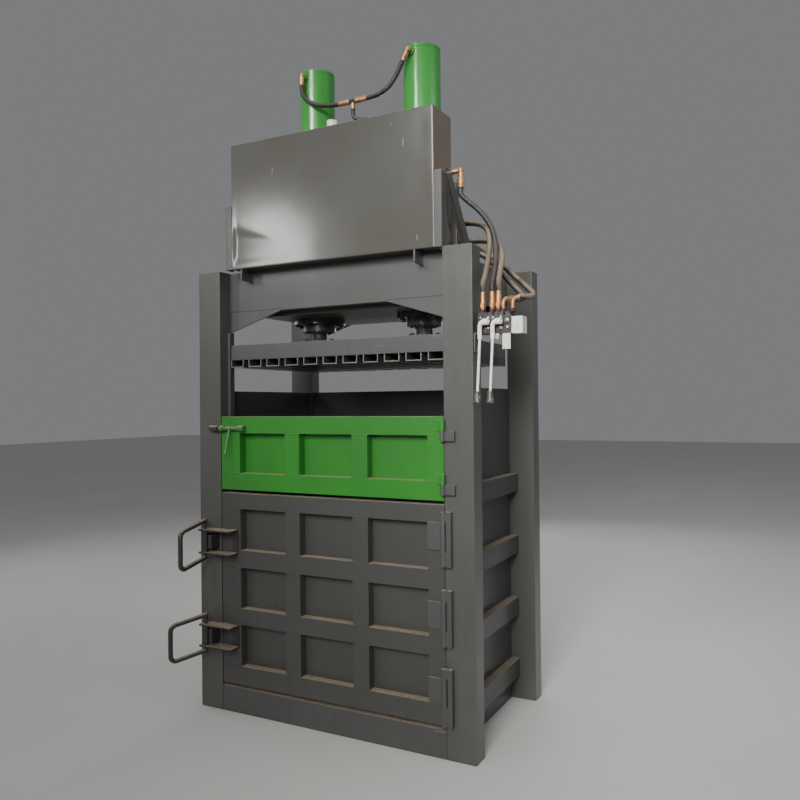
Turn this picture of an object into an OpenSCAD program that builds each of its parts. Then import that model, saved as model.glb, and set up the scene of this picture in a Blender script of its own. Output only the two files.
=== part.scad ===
// Vertical twin-cylinder recycling baler. Millimetres, +Z up, front face toward -Y.
// Origin: centre of the footprint, on the floor. Modules draw from the left front floor corner
// and placed() moves that corner to its place.

/* [Frame] */
// overall width over the columns
frame_width = 1650; // [1200:10:2200]
// overall depth over the columns
frame_depth = 975; // [700:5:1400]
// height of the columns
frame_height = 2410; // [1900:10:3000]
// column width, seen from the front
column_width = 150; // [100:5:220]
// column depth, seen from the side
column_depth = 100; // [80:5:160]
// wall of the column box
column_wall = 8; // [4:1:14]
// top of the base beams
base_height = 138; // [100:1:220]
// depth of the base beams
base_beam_depth = 60; // [40:1:90]
// wall of the base and top beams
beam_wall = 8; // [5:1:14]
// thickness of the chamber floor plate
floor_thickness = 12; // [6:1:20]
// bearers under the floor
bearer_count = 5; // [3:2:7]
// thickness of the side and rear wall plates
wall_thickness = 8; // [5:1:14]
// top edge of the side and rear walls
wall_top = 1750; // [1400:10:2100]
// height of one wall rib
rib_height = 100; // [60:5:140]
// depth of one wall rib
rib_depth = 50; // [30:1:80]
// sheet of the wall ribs
rib_sheet = 6; // [4:1:10]
// top of the lowest side rib
rib_first_top = 230; // [180:1:320]
// spacing of the ribs
rib_pitch = 347; // [250:1:450]
// ribs on each wall
rib_count = 4; // [2:1:5]
// width of the door stop bars
stop_width = 18; // [10:1:30]
// depth of the door stop bars
stop_depth = 40; // [20:1:60]

/* [Top beams] */
// height of the top beams
top_beam_height = 225; // [160:5:320]
// how far the end gussets hang under the beams
gusset_drop = 110; // [40:5:200]
// length of the end gussets
gusset_length = 354; // [150:1:500]
// set back of the beam web from the column face
beam_set_back = 92; // [0:1:95]
// flange depth of the top beams
beam_flange = 60; // [40:1:90]
// thickness of the cylinder mount plate
mount_plate = 30; // [16:1:50]
// gap from the beam flanges to the cylinder mount plate
mount_gap = 16; // [5:1:40]
// web of the cross beams
cross_web = 12; // [8:1:20]
// distance from a cylinder axis to a cross beam
cross_offset = 135; // [120:1:200]

/* [Cylinders] */
// spacing of the two cylinders
cylinder_spacing = 684; // [500:1:900]
// outside diameter of the barrels
barrel_diameter = 203; // [140:1:260]
// bore of the barrels
barrel_bore = 168; // [110:1:220]
// height of the barrels over the frame
barrel_height = 1190; // [900:10:1800]
// thickness of the barrel cap
barrel_cap = 28; // [20:1:80]
// mount flange diameter
mount_flange_diameter = 300; // [240:1:360]
// mount flange thickness
mount_flange = 30; // [16:1:50]
// piston rod diameter
rod_diameter = 90; // [60:1:130]
// piston length
piston_length = 80; // [50:1:120]
// gland diameter
gland_diameter = 190; // [150:1:240]
// gland length under the mount flange
gland_length = 40; // [25:1:80]
// radial gap of sliding round parts
slide_gap = 0.05; // [0.02:0.01:0.1]

/* [Platen] */
// gap between the platen and the chamber walls
platen_side = 24; // [10:1:60]
// front plane of the platen from the column face
platen_front = 64; // [60:1:120]
// back of the platen from the rear column face
platen_back = 65; // [60:1:120]
// gap from the glands down to the platen at rest
platen_drop = 89; // [70:1:200]
// bottom plate of the platen
platen_plate = 10; // [6:1:20]
// top plate of the platen
platen_cover = 6; // [4:1:16]
// webs inside the platen
platen_rib = 10; // [6:1:20]
// height of the platen's outer web
platen_web = 83; // [50:1:150]
// width of a strap channel
strap_channel_width = 87; // [60:0.5:110]
// height of a strap channel
strap_channel_height = 41; // [25:1:60]
// number of strap channels
strap_count = 11; // [7:2:15]
// sheet of the strap channels
strap_sheet = 6; // [4:1:10]
// rod flange diameter on the platen
rod_flange_diameter = 210; // [150:1:260]
// rod flange thickness
rod_flange = 24; // [12:1:40]

/* [Doors] */
// left edge of both doors from the left side
door_left = 156; // [150:1:200]
// right edge of both doors from the right side
door_right = 152; // [150:1:200]
// depth of the door lattice
door_depth = 50; // [30:1:58]
// door skin plate
door_skin = 5; // [3:1:8]
// wall of the door channels
door_wall = 6; // [4:1:10]
// lower door bottom
lower_door_bottom = 154; // [145:1:200]
// lower door top
lower_door_top = 1193; // [900:1:1400]
// upper door bottom
upper_door_bottom = 1211; // [1000:1:1500]
// upper door top
upper_door_top = 1610; // [1400:1:1800]
// outer stile width, left
stile_left = 126; // [80:1:160]
// outer stile width, right
stile_right = 87; // [60:1:140]
// inner stile width
stile_inner = 91; // [60:1:140]
// first inner stile from the left edge of the door
stile_1_inset = 425; // [300:1:600]
// second inner stile from the right edge of the door
stile_2_inset = 416; // [300:1:600]
// height of the lower door's bottom rail
lower_rail_1 = 103; // [60:1:140]
// bottom of the lower door's second rail over the door's lower edge
lower_rail_2_at = 324; // [250:1:400]
// height of the lower door's second rail
lower_rail_2 = 92; // [60:1:140]
// bottom of the lower door's third rail over the door's lower edge
lower_rail_3_at = 635; // [550:1:720]
// height of the lower door's third rail
lower_rail_3 = 96; // [60:1:140]
// height of the lower door's top rail
lower_rail_4 = 86; // [60:1:140]
// height of the upper door's bottom rail
upper_rail_1 = 92; // [60:1:140]
// height of the upper door's top rail
upper_rail_2 = 91; // [60:1:140]
// hinge axis from the right side
hinge_inset = 151; // [130:1:160]
// hinge axis in front of the column face
hinge_y = 18; // [14:1:30]
// lower door hinge barrel diameter
lower_barrel = 28; // [20:1:40]
// lower door hinge pin diameter
lower_pin = 16; // [10:1:24]
// upper door hinge barrel diameter
upper_barrel = 24; // [18:1:36]
// upper door hinge pin diameter
upper_pin = 14; // [8:1:20]
// gap between neighbouring hinge knuckles
knuckle_gap = 0.5; // [0.3:0.1:2]
// hinge leaf thickness
leaf_thickness = 8; // [5:1:12]

/* [Latches] */
// cam shaft axis from the left side
latch_x = 75; // [60:1:90]
// cam shaft axis in front of the column face
latch_y = 48; // [40:1:60]
// thickness of the latch bracket plates
latch_plate = 10; // [6:1:14]
// left end of the latch bracket plates
latch_plate_left = 50; // [40:1:60]
// right end of the latch bracket plates
latch_plate_right = 268; // [200:1:320]
// depth of the latch bracket plates in front of the face
latch_plate_depth = 76; // [60:1:100]
// top of the upper latch bracket
upper_latch_top = 995; // [900:1:1050]
// top of the lower latch bracket
lower_latch_top = 477; // [400:1:520]
// upper latch: distance between its plates' outer faces
upper_latch_height = 134; // [100:1:180]
// lower latch: distance between its plates' outer faces
lower_latch_height = 125; // [100:1:180]
// cam shaft diameter
cam_shaft = 22; // [16:1:30]
// cam hub diameter
cam_hub = 44; // [34:1:52]
// reach of the cam lobe
cam_reach = 44; // [38:1:46]
// thickness of the cam lobe
cam_thickness = 14; // [10:1:18]
// handle bar diameter
handle_bar = 25; // [16:1:32]
// reach of the latch handle
handle_reach = 190; // [140:1:260]
// droop of the handle arms
handle_droop = 12; // [0:1:25]
// bend radius of the handle's upper corner
handle_bend_top = 38; // [30:1:60]
// bend radius of the handle's lower corner
handle_bend_low = 28; // [26:1:60]
// rest direction of the upper latch handle
upper_latch_rest = 270; // [180:1:275]
// rest direction of the lower latch handle
lower_latch_rest = 235; // [180:1:275]

/* [Slide bolt] */
// height of the bolt axis
bolt_z = 1545; // [1400:1:1600]
// bolt axis in front of the column face
bolt_y = 19; // [16:1:28]
// bolt diameter
bolt_diameter = 20; // [12:1:26]
// outside diameter of the bolt sleeves
bolt_sleeve = 32; // [26:1:38]
// left end of the bolt at rest
bolt_end = 151.5; // [150.5:0.5:156]
// length of the bolt
bolt_length = 175; // [120:1:260]
// bolt handle rod diameter
bolt_handle = 12; // [8:1:16]
// length of the hanging bolt handle
bolt_handle_length = 135; // [80:1:180]

/* [Tank] */
// left end of the tank
tank_left = 237; // [150:1:400]
// right end of the tank from the right side
tank_inset = 191; // [150:1:400]
// tank depth
tank_depth = 209; // [150:1:400]
// tank height
tank_height = 679; // [400:1:900]
// tank sheet
tank_sheet = 4; // [3:1:6]
// width of the angle posts' front leg
post_leg = 40; // [30:1:60]
// depth of the angle posts' side leg
post_side = 60; // [40:1:90]
// height of the left post
post_left_height = 348; // [200:1:500]
// height of the right post
post_right_height = 365; // [200:1:500]
// where the braces land, from the front
brace_foot = 310; // [250:1:450]
// filler from the left end of the tank
filler_inset = 595; // [200:1:900]
// filler from the front of the tank
filler_depth = 100; // [60:1:140]
// tank port over the frame
tank_port_height = 380; // [200:1:600]
// tank port from the front of the tank
tank_port_depth = 120; // [60:1:150]

/* [Drive] */
// motor diameter
motor_diameter = 230; // [160:1:280]
// motor body length
motor_length = 330; // [240:1:420]
// motor axis height over the frame top
motor_axis = 160; // [130:1:200]
// front of the motor from the column face
motor_front = 410; // [400:1:460]

/* [Valve] */
// gap between the column and the valve block
valve_gap = 21; // [10:1:50]
// width of the valve block
valve_width = 162; // [140:1:220]
// underside of the valve block under the frame top
valve_drop = 414; // [300:1:600]
// height of the valve block
valve_height = 90; // [60:1:120]
// front of the valve block from the column face
valve_front = 10; // [0:1:60]
// depth of the valve block
valve_depth = 80; // [60:1:110]
// end cap diameter
end_cap_diameter = 72; // [50:1:86]
// end cap length
end_cap_length = 52; // [30:1:70]
// lever rod diameter
lever_rod = 12; // [8:1:16]
// lever length below the pivot
lever_length = 330; // [220:1:400]
// hydraulic hose diameter
hose_diameter = 26; // [18:1:34]

/* [Output] */
// sub-part to draw, or "all"

/* [Hidden] */
$fn = 32;
eps = 0.5;
clear = 0.3;
chamber_left = column_width;
chamber_right = frame_width - column_width;
chamber_width = chamber_right - chamber_left;
top_beam_bottom = frame_height - top_beam_height;
gusset_bottom = top_beam_bottom - gusset_drop;
barrel_top = frame_height + barrel_height;
cylinder_left_x = (frame_width - cylinder_spacing) / 2;
wall_front = column_depth;
wall_back = frame_depth - column_depth;
rear_wall_y = frame_depth - base_beam_depth;
beam_web_y = beam_set_back;
beam_inner = beam_web_y + beam_wall;
rear_beam_inner = frame_depth - beam_inner;
cross_bottom = top_beam_bottom + beam_wall;
cross_top = frame_height - beam_wall;
mount_top = cross_bottom;
mount_bottom = mount_top - mount_plate;
flange_bottom = mount_bottom - mount_flange;
gland_bottom = flange_bottom - gland_length;
cylinder_y = frame_depth / 2;
cylinder_right_x = cylinder_left_x + cylinder_spacing;
mount_left = cylinder_left_x - 190;
mount_right = cylinder_right_x + 190;
platen_top = gland_bottom - platen_drop;
platen_left = chamber_left + platen_side;
platen_width = chamber_width - 2 * platen_side;
platen_depth = frame_depth - platen_front - platen_back;
platen_bottom = platen_top - platen_web - strap_channel_height;
strap_first = platen_left;
strap_pitch = (platen_width - strap_channel_width) / (strap_count - 1);
door_width = frame_width - door_left - door_right;
inner_stile_1 = door_left + stile_1_inset;
inner_stile_2 = door_left + door_width - stile_2_inset - stile_inner;
hinge_x = frame_width - hinge_inset;
lower_rails = [[lower_door_bottom, lower_door_bottom + lower_rail_1],
    [lower_door_bottom + lower_rail_2_at, lower_door_bottom + lower_rail_2_at + lower_rail_2],
    [lower_door_bottom + lower_rail_3_at, lower_door_bottom + lower_rail_3_at + lower_rail_3],
    [lower_door_top - lower_rail_4, lower_door_top]];
upper_rails = [[upper_door_bottom, upper_door_bottom + upper_rail_1], [upper_door_top - upper_rail_2, upper_door_top]];
rod_flange_top = platen_top + rod_flange;
piston_top = gland_bottom + 190;
tank_bottom = frame_height;
tank_top = frame_height + tank_height;
tank_right = frame_width - tank_inset;
post_left_top = tank_bottom + post_left_height;
post_right_top = tank_bottom + post_right_height;
filler_x = tank_left + filler_inset;
tank_port_z = tank_bottom + tank_port_height;
motor_x = frame_width / 2;
pump_axis = frame_height + motor_axis;
valve_left = frame_width + valve_gap;
valve_right = valve_left + valve_width;
valve_bottom = frame_height - valve_drop;
valve_top = valve_bottom + valve_height;
valve_mid_y = valve_front + valve_depth / 2;
floor_top = base_height + floor_thickness;
upper_knuckles = [for (k = [[129.5, 29], [382, 281]]) [for (v = k) upper_door_bottom + v]];
lower_knuckles = [for (k = [[752, 1009, 826, 957], [378, 644, 457, 584], [5, 277, 102, 226]]) [for (v = k) lower_door_bottom + v]];
hose_sides = 8;
// fittings that the hoses hang between
port_x = -22;
port_y = -128;
port_z = barrel_top - 40;
port_boss = 0.85;
low_port_z = frame_height + 94;
low_boss = barrel_diameter / 2 + 6;
left_port = [cylinder_left_x + port_x, cylinder_y + port_y, port_z];
right_port = [cylinder_right_x + port_x, cylinder_y + port_y, port_z];
tee = [motor_x - 22, cylinder_y + port_y, barrel_top - 250];
pump_top = [motor_x - 5, 306, pump_axis + 178];
pump_out = [motor_x + 115, 300, pump_axis - 10];
pump_back = [motor_x + 135, 330, pump_axis - 50];
tank_elbow = [tank_right + 89, tank_port_depth, tank_port_z];
right_low_port = [cylinder_right_x + 167, cylinder_y, low_port_z];
left_low_port = [cylinder_left_x, cylinder_y - 148, low_port_z];
riser_top = valve_top + 100;
riser_1 = valve_left + 12;
riser_2 = valve_left + 59;
riser_3 = valve_left + 89;
elbow_1 = valve_left + 112;
elbow_2 = valve_left + 157;
elbow_z = valve_top + 64;
elbow_radius = 24;
elbow_turn = atan2(5, 4);
lever_1 = valve_left + 20;
lever_2 = valve_left + 82;
lever_side = 30;
lever_z = valve_bottom + 44;
lever_y = valve_front - 24;
lever_barrel = 30;
lever_sleeve = 20;
lever_bend = 26;
lever_room = 8;
keeper_left = column_width - 38;
keeper_right = column_width - 25;
// hand-laid hose routes, each carried along by the fittings at its two ends
function hung(r, a, b) = let (n = len(r) - 1) [for (i = [0:n])
    let (w = max(0, min(1, (i - 1) / (n - 2)))) r[i] + (1 - w) * (a - r[0]) + w * (b - r[n])];
route_left = hung([[461, 359.5, 3506], [461, 359.5, 3476], [472, 359.5, 3440], [508, 359.5, 3404], [560, 359.5, 3376], [630, 359.5, 3358],
    [700, 359.5, 3350], [754, 359.5, 3350]], left_port - [0, 0, 54], tee - [49, 0, 0]);
route_right = hung([[852, 359.5, 3350], [900, 359.5, 3350], [960, 359.5, 3356], [1016, 359.5, 3378], [1054, 359.5, 3412], [1085, 359.5, 3456],
    [1115, 359.5, 3508]], tee + [49, 0, 0], right_port - [30, 0, 52]);
route_branch = hung([[803, 359.5, 3306], [803, 359.5, 3280], [812, 362, 3256], [846, 368, 3243], [900, 376, 3236], [950, 382, 3210], [976, 380, 3160],
    [980, 366, 3070], [964, 344, 2970], [924, 324, 2890], [860, 310, 2832], [820, 306, 2788], [820, 306, 2748]], tee - [0, 0, 44], pump_top);
route_tank = hung([[1548, 120, 2708], [1548, 120, 2676], [1580, 132, 2640], [1628, 142, 2596], [1668, 146, 2546], [1698, 142, 2490], [1716, 132, 2420],
    [1724, 112, 2340], [1728, 80, 2270], [1730, 50, 2218], [1730, 50, 2186]], tank_elbow - [0, 0, 82], [riser_2, valve_mid_y, riser_top]);
route_supply = hung([[940, 300, 2560], [1010, 300, 2560], [1140, 300, 2570], [1300, 310, 2576], [1440, 312, 2580], [1540, 290, 2570], [1610, 250, 2540],
    [1656, 200, 2490], [1680, 150, 2420], [1686, 110, 2340], [1686, 76, 2270], [1683, 50, 2220], [1683, 50, 2186]],
    pump_out, [riser_1, valve_mid_y, riser_top]);
route_return = hung([[1760, 50, 2186], [1760, 50, 2220], [1758, 78, 2280], [1752, 120, 2340], [1730, 170, 2396], [1690, 226, 2440], [1630, 274, 2468],
    [1540, 306, 2484], [1400, 314, 2490], [1240, 314, 2492], [1120, 316, 2500], [1030, 330, 2520], [960, 330, 2520]],
    [riser_3, valve_mid_y, riser_top], pump_back);
route_work = hung([[1866, 50, 2150], [1890, 50, 2150], [1908, 84, 2154], [1900, 130, 2166], [1874, 190, 2190], [1826, 250, 2226], [1764, 300, 2276],
    [1694, 340, 2336], [1610, 372, 2404], [1520, 412, 2462], [1440, 452, 2494], [1380, 487.5, 2504], [1334, 487.5, 2504]],
    [elbow_2 + 38, valve_mid_y, elbow_z], right_low_port);
route_cross = hung([[1820, 98, 2150], [1840, 123, 2150], [1840, 164, 2162], [1816, 200, 2188], [1772, 220, 2230], [1716, 232, 2290],
    [1660, 242, 2350], [1600, 246, 2400], [1510, 240, 2426], [1380, 236, 2430], [1160, 234, 2436], [900, 234, 2440], [680, 234, 2446],
    [560, 236, 2462], [500, 252, 2488], [483, 296, 2504], [483, 339.5, 2504]],
    [elbow_1 + 60 * cos(elbow_turn), valve_mid_y + 60 * sin(elbow_turn), elbow_z], left_low_port);

module placed() { translate([-frame_width / 2, -frame_depth / 2, 0]) children(); }
module block(a, b) { translate(a) cube(b - a); }
module rod_z(x, y, low, high, d) { translate([x, y, low]) cylinder(d = d, h = high - low); }
module rod_x(left, right, y, z, d) { translate([left, y, z]) rotate([0, 90, 0]) cylinder(d = d, h = right - left); }
module rod_y(x, front, back, z, d) { translate([x, front, z]) rotate([-90, 0, 0]) cylinder(d = d, h = back - front); }
module hex_z(x, y, low, high, across) { translate([x, y, low]) cylinder(d = across / cos(30), h = high - low, $fn = 6); }
module bar(a, b, d, sides = 32) {
    v = b - a;
    translate(a) rotate([0, acos(v[2] / norm(v)), atan2(v[1], v[0])]) cylinder(d = d, h = norm(v), $fn = sides);
}
module mirrored_x() { children(); translate([frame_width, 0, 0]) mirror([1, 0, 0]) children(); }
module mirrored_y() { translate([0, frame_depth, 0]) mirror([0, 1, 0]) children(); }

// a hose as one closed skin of rings along its route
function unit(v) = v / norm(v);
function way(r, i) = unit(r[min(i + 1, len(r) - 1)] - r[max(i - 1, 0)]);
function side_of(t) = unit(abs(t[2]) > 0.9 ? cross(t, [0, 1, 0]) : cross(t, [0, 0, 1]));
function carried(r, i) = i == 0 ? side_of(way(r, 0)) : let (p = carried(r, i - 1), t = way(r, i)) unit(p - t * (p * t));
module hose(r, d) {
    rings = [for (i = [0:len(r) - 1]) let (t = way(r, i), u = carried(r, i), v = cross(t, u))
        for (k = [0:hose_sides - 1]) r[i] + d / 2 * (cos(360 * k / hose_sides) * u + sin(360 * k / hose_sides) * v)];
    n = hose_sides;
    last = (len(r) - 1) * n;
    sides = [for (i = [0:len(r) - 2]) for (k = [0:n - 1]) [i * n + k, (i + 1) * n + k, (i + 1) * n + (k + 1) % n, i * n + (k + 1) % n]];
    polyhedron(rings, concat(sides, [[for (k = [0:n - 1]) k]], [[for (k = [n - 1:-1:0]) last + k]]), convexity = 6);
}
// rounds a coarse route with three points at each inner corner
function eased(r) = [for (i = [0:len(r) - 1]) each (i == 0 || i == len(r) - 1) ? [r[i]]
    : let (a = r[i] + (r[i - 1] - r[i]) * 0.25, b = r[i] + (r[i + 1] - r[i]) * 0.25) [a, b]];

module column() {
    difference() {
        block([0, 0, 0], [column_width, column_depth, frame_height]);
        block([column_wall, column_wall, column_wall], [column_width - column_wall, column_depth - column_wall, frame_height - column_wall]);
    }
}
module front_column_left() { color([0.29, 0.30, 0.28]) placed() column(); }
module front_column_right() { color([0.29, 0.30, 0.28]) placed() translate([chamber_right, 0, 0]) column(); }
module rear_column_left() { color([0.29, 0.30, 0.28]) placed() translate([0, wall_back, 0]) column(); }
module rear_column_right() { color([0.29, 0.30, 0.28]) placed() translate([chamber_right, wall_back, 0]) column(); }

module base_channel() {
    difference() {
        block([chamber_left, 0, 0], [chamber_right, base_beam_depth, base_height]);
        block([chamber_left - eps, beam_wall, beam_wall], [chamber_right + eps, base_beam_depth + eps, base_height - beam_wall]);
    }
}
module base_front_beam() {
    color([0.27, 0.28, 0.26]) placed() {
        base_channel();
        block([chamber_right - 62, -4, base_height - 26], [chamber_right - 2, 0, base_height - 12]);
    }
}
module base_rear_beam() { color([0.27, 0.28, 0.26]) placed() mirrored_y() base_channel(); }
module base_bearers() {
    color([0.27, 0.28, 0.26]) placed() for (i = [0:bearer_count - 1]) {
        x = chamber_left + 120 + i * (chamber_width - 300) / (bearer_count - 1);
        difference() {
            block([x, base_beam_depth, 0], [x + 60, rear_wall_y, base_height]);
            block([x + beam_wall, base_beam_depth - eps, beam_wall], [x + 60 + eps, rear_wall_y + eps, base_height - beam_wall]);
        }
    }
}
module chamber_floor() {
    color([0.33, 0.31, 0.28]) placed() block([chamber_left, base_beam_depth + 2, base_height], [chamber_right, rear_wall_y, floor_top]);
}
module strap_channel(x, low, front, back, up) {
    difference() {
        block([x, front, low], [x + strap_channel_width, back, low + strap_channel_height]);
        block([x + strap_sheet, front - eps, up ? low - eps : low + strap_sheet],
            [x + strap_channel_width - strap_sheet, back + eps, up ? low + strap_channel_height - strap_sheet : low + strap_channel_height + eps]);
    }
}
module floor_channels() {
    color([0.36, 0.34, 0.31]) placed() for (i = [0:strap_count - 1])
        strap_channel(strap_first + i * strap_pitch, floor_top, platen_front + 2, platen_front + platen_depth - 4, true);
}

module side_wall() { block([column_width - wall_thickness, wall_front, 0], [column_width, wall_back, wall_top]); }
module side_ribs() {
    outer = column_width - wall_thickness;
    for (i = [0:rib_count - 1]) {
        top = rib_first_top + i * rib_pitch;
        difference() {
            block([outer - rib_depth, wall_front, top - rib_height], [outer, wall_back, top]);
            block([outer - rib_depth + rib_sheet, wall_front - eps, top - rib_height + rib_sheet], [outer + eps, wall_back + eps, top - rib_sheet]);
        }
    }
}
module side_wall_left() { color([0.30, 0.30, 0.28]) placed() side_wall(); }
module side_wall_right() { color([0.30, 0.30, 0.28]) placed() translate([frame_width, 0, 0]) mirror([1, 0, 0]) side_wall(); }
module side_ribs_left() { color([0.30, 0.30, 0.28]) placed() side_ribs(); }
module side_ribs_right() { color([0.30, 0.30, 0.28]) placed() translate([frame_width, 0, 0]) mirror([1, 0, 0]) side_ribs(); }
module rear_wall() {
    color([0.30, 0.30, 0.28]) placed() block([chamber_left, rear_wall_y, base_height], [chamber_right, rear_wall_y + wall_thickness, wall_top]);
}
module rear_ribs() {
    front = rear_wall_y + wall_thickness;
    color([0.30, 0.30, 0.28]) placed() for (i = [0:rib_count - 1]) {
        top = rib_first_top + rib_pitch * (i + 1);
        difference() {
            block([chamber_left, front, top - rib_height], [chamber_right, front + rib_depth, top]);
            block([chamber_left - eps, front - eps, top - rib_height + rib_sheet], [chamber_right + eps, front + rib_depth - rib_sheet, top - rib_sheet]);
        }
    }
}
module door_stops() {
    color([0.29, 0.30, 0.28]) placed() mirrored_x()
        block([column_width, column_depth - stop_depth, floor_top], [column_width + stop_width, column_depth, gusset_bottom]);
}

module beam_profile() {
    polygon([[chamber_left, gusset_bottom], [chamber_left + gusset_length, top_beam_bottom], [chamber_right - gusset_length, top_beam_bottom],
        [chamber_right, gusset_bottom], [chamber_right, frame_height], [chamber_left, frame_height]]);
}
module top_beam() {
    translate([0, beam_inner, 0]) rotate([90, 0, 0]) linear_extrude(beam_wall) beam_profile();
    block([chamber_left, beam_inner, frame_height - beam_wall], [chamber_right, beam_inner + beam_flange, frame_height]);
    block([chamber_left, beam_inner, top_beam_bottom], [chamber_right, beam_inner + beam_flange, cross_bottom]);
}
module front_top_beam() { color([0.28, 0.29, 0.27]) placed() top_beam(); }
module rear_top_beam() { color([0.28, 0.29, 0.27]) placed() mirrored_y() top_beam(); }
module cross_beam(x, flange_dir) {
    block([x, beam_inner, cross_bottom], [x + cross_web, rear_beam_inner, cross_top]);
    flange_x = flange_dir > 0 ? x : x + cross_web - beam_flange;
    block([flange_x, beam_inner + beam_flange, cross_top], [flange_x + beam_flange, rear_beam_inner - beam_flange, frame_height]);
}
module cross_beams() {
    color([0.28, 0.29, 0.27]) placed() {
        for (x = [cylinder_left_x, cylinder_right_x]) {
            cross_beam(x - cross_offset - cross_web, -1);
            cross_beam(x + cross_offset, 1);
        }
        cross_beam(chamber_left, 1);
        cross_beam(chamber_right - cross_web, -1);
    }
}
module cylinder_mount_plate() {
    color([0.26, 0.27, 0.25]) placed() difference() {
        block([mount_left, beam_inner + beam_flange + mount_gap, mount_bottom], [mount_right, rear_beam_inner - beam_flange - mount_gap, mount_top]);
        for (x = [cylinder_left_x, cylinder_right_x])
            rod_z(x, cylinder_y, mount_bottom - eps, mount_top + eps, barrel_diameter + 1);
    }
}

module one_cylinder(x) {
    difference() {
        union() {
            rod_z(x, cylinder_y, flange_bottom, barrel_top - 18, barrel_diameter);
            rod_z(x, cylinder_y, barrel_top - 18, barrel_top - 15, barrel_diameter - 3);
            rod_z(x, cylinder_y, barrel_top - 15, barrel_top, barrel_diameter);
            rod_z(x, cylinder_y, flange_bottom, mount_bottom, mount_flange_diameter);
            if (x == cylinder_right_x) rod_x(x, x + low_boss, cylinder_y, low_port_z, 40);
            else rod_y(x, cylinder_y - low_boss, cylinder_y, low_port_z, 40);
            bar([x, cylinder_y, port_z], [x + port_x * port_boss, cylinder_y + port_y * port_boss, port_z], 46);
        }
        rod_z(x, cylinder_y, flange_bottom - eps, barrel_top - barrel_cap, barrel_bore);
        bar([x, cylinder_y, port_z], [x + port_x, cylinder_y + port_y, port_z], 16);
        for (a = [0:45:315]) rod_z(x + 128 * cos(a), cylinder_y + 128 * sin(a), flange_bottom - eps, mount_bottom + eps, 17);
    }
    // mount flange bolts
    for (a = [0:45:315]) translate([x + 128 * cos(a), cylinder_y + 128 * sin(a), 0]) {
        rod_z(0, 0, flange_bottom, mount_bottom, 16.6);
        hex_z(0, 0, flange_bottom - 11, flange_bottom, 24);
    }
}
module cylinder_left() { color([0.24, 0.25, 0.24]) placed() one_cylinder(cylinder_left_x); }
module cylinder_right() { color([0.24, 0.25, 0.24]) placed() one_cylinder(cylinder_right_x); }
module glands() {
    color([0.42, 0.42, 0.40]) placed() for (x = [cylinder_left_x, cylinder_right_x]) difference() {
        union() {
            rod_z(x, cylinder_y, gland_bottom, flange_bottom, gland_diameter);
            rod_z(x, cylinder_y, flange_bottom, flange_bottom + 70, barrel_bore - 2 * slide_gap);
            for (a = [22.5:45:360]) hex_z(x + 70 * cos(a), cylinder_y + 70 * sin(a), gland_bottom - 8, gland_bottom, 18);
        }
        rod_z(x, cylinder_y, gland_bottom - 9, flange_bottom + 71, rod_diameter + 2 * slide_gap);
    }
}

module oil_tank() {
    color([0.45, 0.46, 0.43]) placed() {
        difference() {
            block([tank_left, 0, tank_bottom], [tank_right, tank_depth, tank_top]);
            block([tank_left + tank_sheet, tank_sheet, tank_bottom + tank_sheet], [tank_right - tank_sheet, tank_depth - tank_sheet, tank_top - tank_sheet]);
            rod_z(filler_x, filler_depth, tank_top - tank_sheet - eps, tank_top + eps, 40);
            rod_x(tank_right - tank_sheet - eps, tank_right + eps, tank_port_depth, tank_port_z, 24);
        }
    }
}
module post(x, top, dir) {
    inner = dir > 0 ? x : x - post_leg;
    outer = dir > 0 ? x + post_leg - 5 : x - post_leg;
    block([inner, 0, tank_bottom], [inner + post_leg, 5, top]);
    block([outer, 5, tank_bottom], [outer + 5, post_side, top]);
}
module tank_posts() {
    color([0.30, 0.31, 0.29]) placed() {
        post(tank_left, post_left_top, -1);
        post(tank_right, post_right_top, 1);
        // bracket plates from the tank's foot to the beam
        for (x = [tank_left + 59, tank_right - 112]) translate([x + 10, 0, 0]) rotate([90, 0, -90]) linear_extrude(10)
            polygon([[0, tank_bottom], [0, tank_bottom - 59], [-beam_set_back, tank_bottom - 68], [-beam_set_back, tank_bottom]]);
    }
}
// an angle bar that runs from the post's top down to the frame
module brace(x, top, out) {
    lean = 45;
    translate([x + 5, 0, 0]) rotate([90, 0, -90]) linear_extrude(5)
        polygon([[-post_side, top], [-post_side, top - 50], [-brace_foot + lean, tank_bottom], [-brace_foot, tank_bottom], [-brace_foot, tank_bottom + 30]]);
    translate([out > 0 ? x + 30 : x, 0, 0]) rotate([90, 0, -90]) linear_extrude(25)
        polygon([[-post_side, top], [-post_side, top - 7], [-brace_foot, tank_bottom + 23], [-brace_foot, tank_bottom + 30]]);
}
// an upright angle beside the brace, on the end cross beam
module upright(x, dir) {
    low = x - (dir > 0 ? 0 : 28);
    block([dir > 0 ? x : x - 5, 192, tank_bottom], [dir > 0 ? x + 5 : x, 218, tank_bottom + 346]);
    block([low, 187, tank_bottom], [low + 28, 192, tank_bottom + 346]);
}
module tank_braces() {
    color([0.27, 0.28, 0.26]) placed() {
        brace(tank_left - post_leg, post_left_top, -1);
        brace(tank_right + post_leg - 5, post_right_top, 1);
        upright(tank_left - post_leg + 5, 1);
        upright(tank_right + post_leg - 5, -1);
    }
}
module filler_breather() {
    color([0.85, 0.84, 0.80]) placed() difference() {
        union() {
            rod_z(filler_x, filler_depth, tank_top, tank_top + 8, 62);
            rod_z(filler_x, filler_depth, tank_top + 8, tank_top + 22, 44);
            rod_z(filler_x, filler_depth, tank_top + 22, tank_top + 60, 58);
            rod_z(filler_x, filler_depth, tank_top - 30, tank_top, 38);
        }
        rod_z(filler_x, filler_depth, tank_top - 31, tank_top + 50, 30);
    }
}

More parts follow.
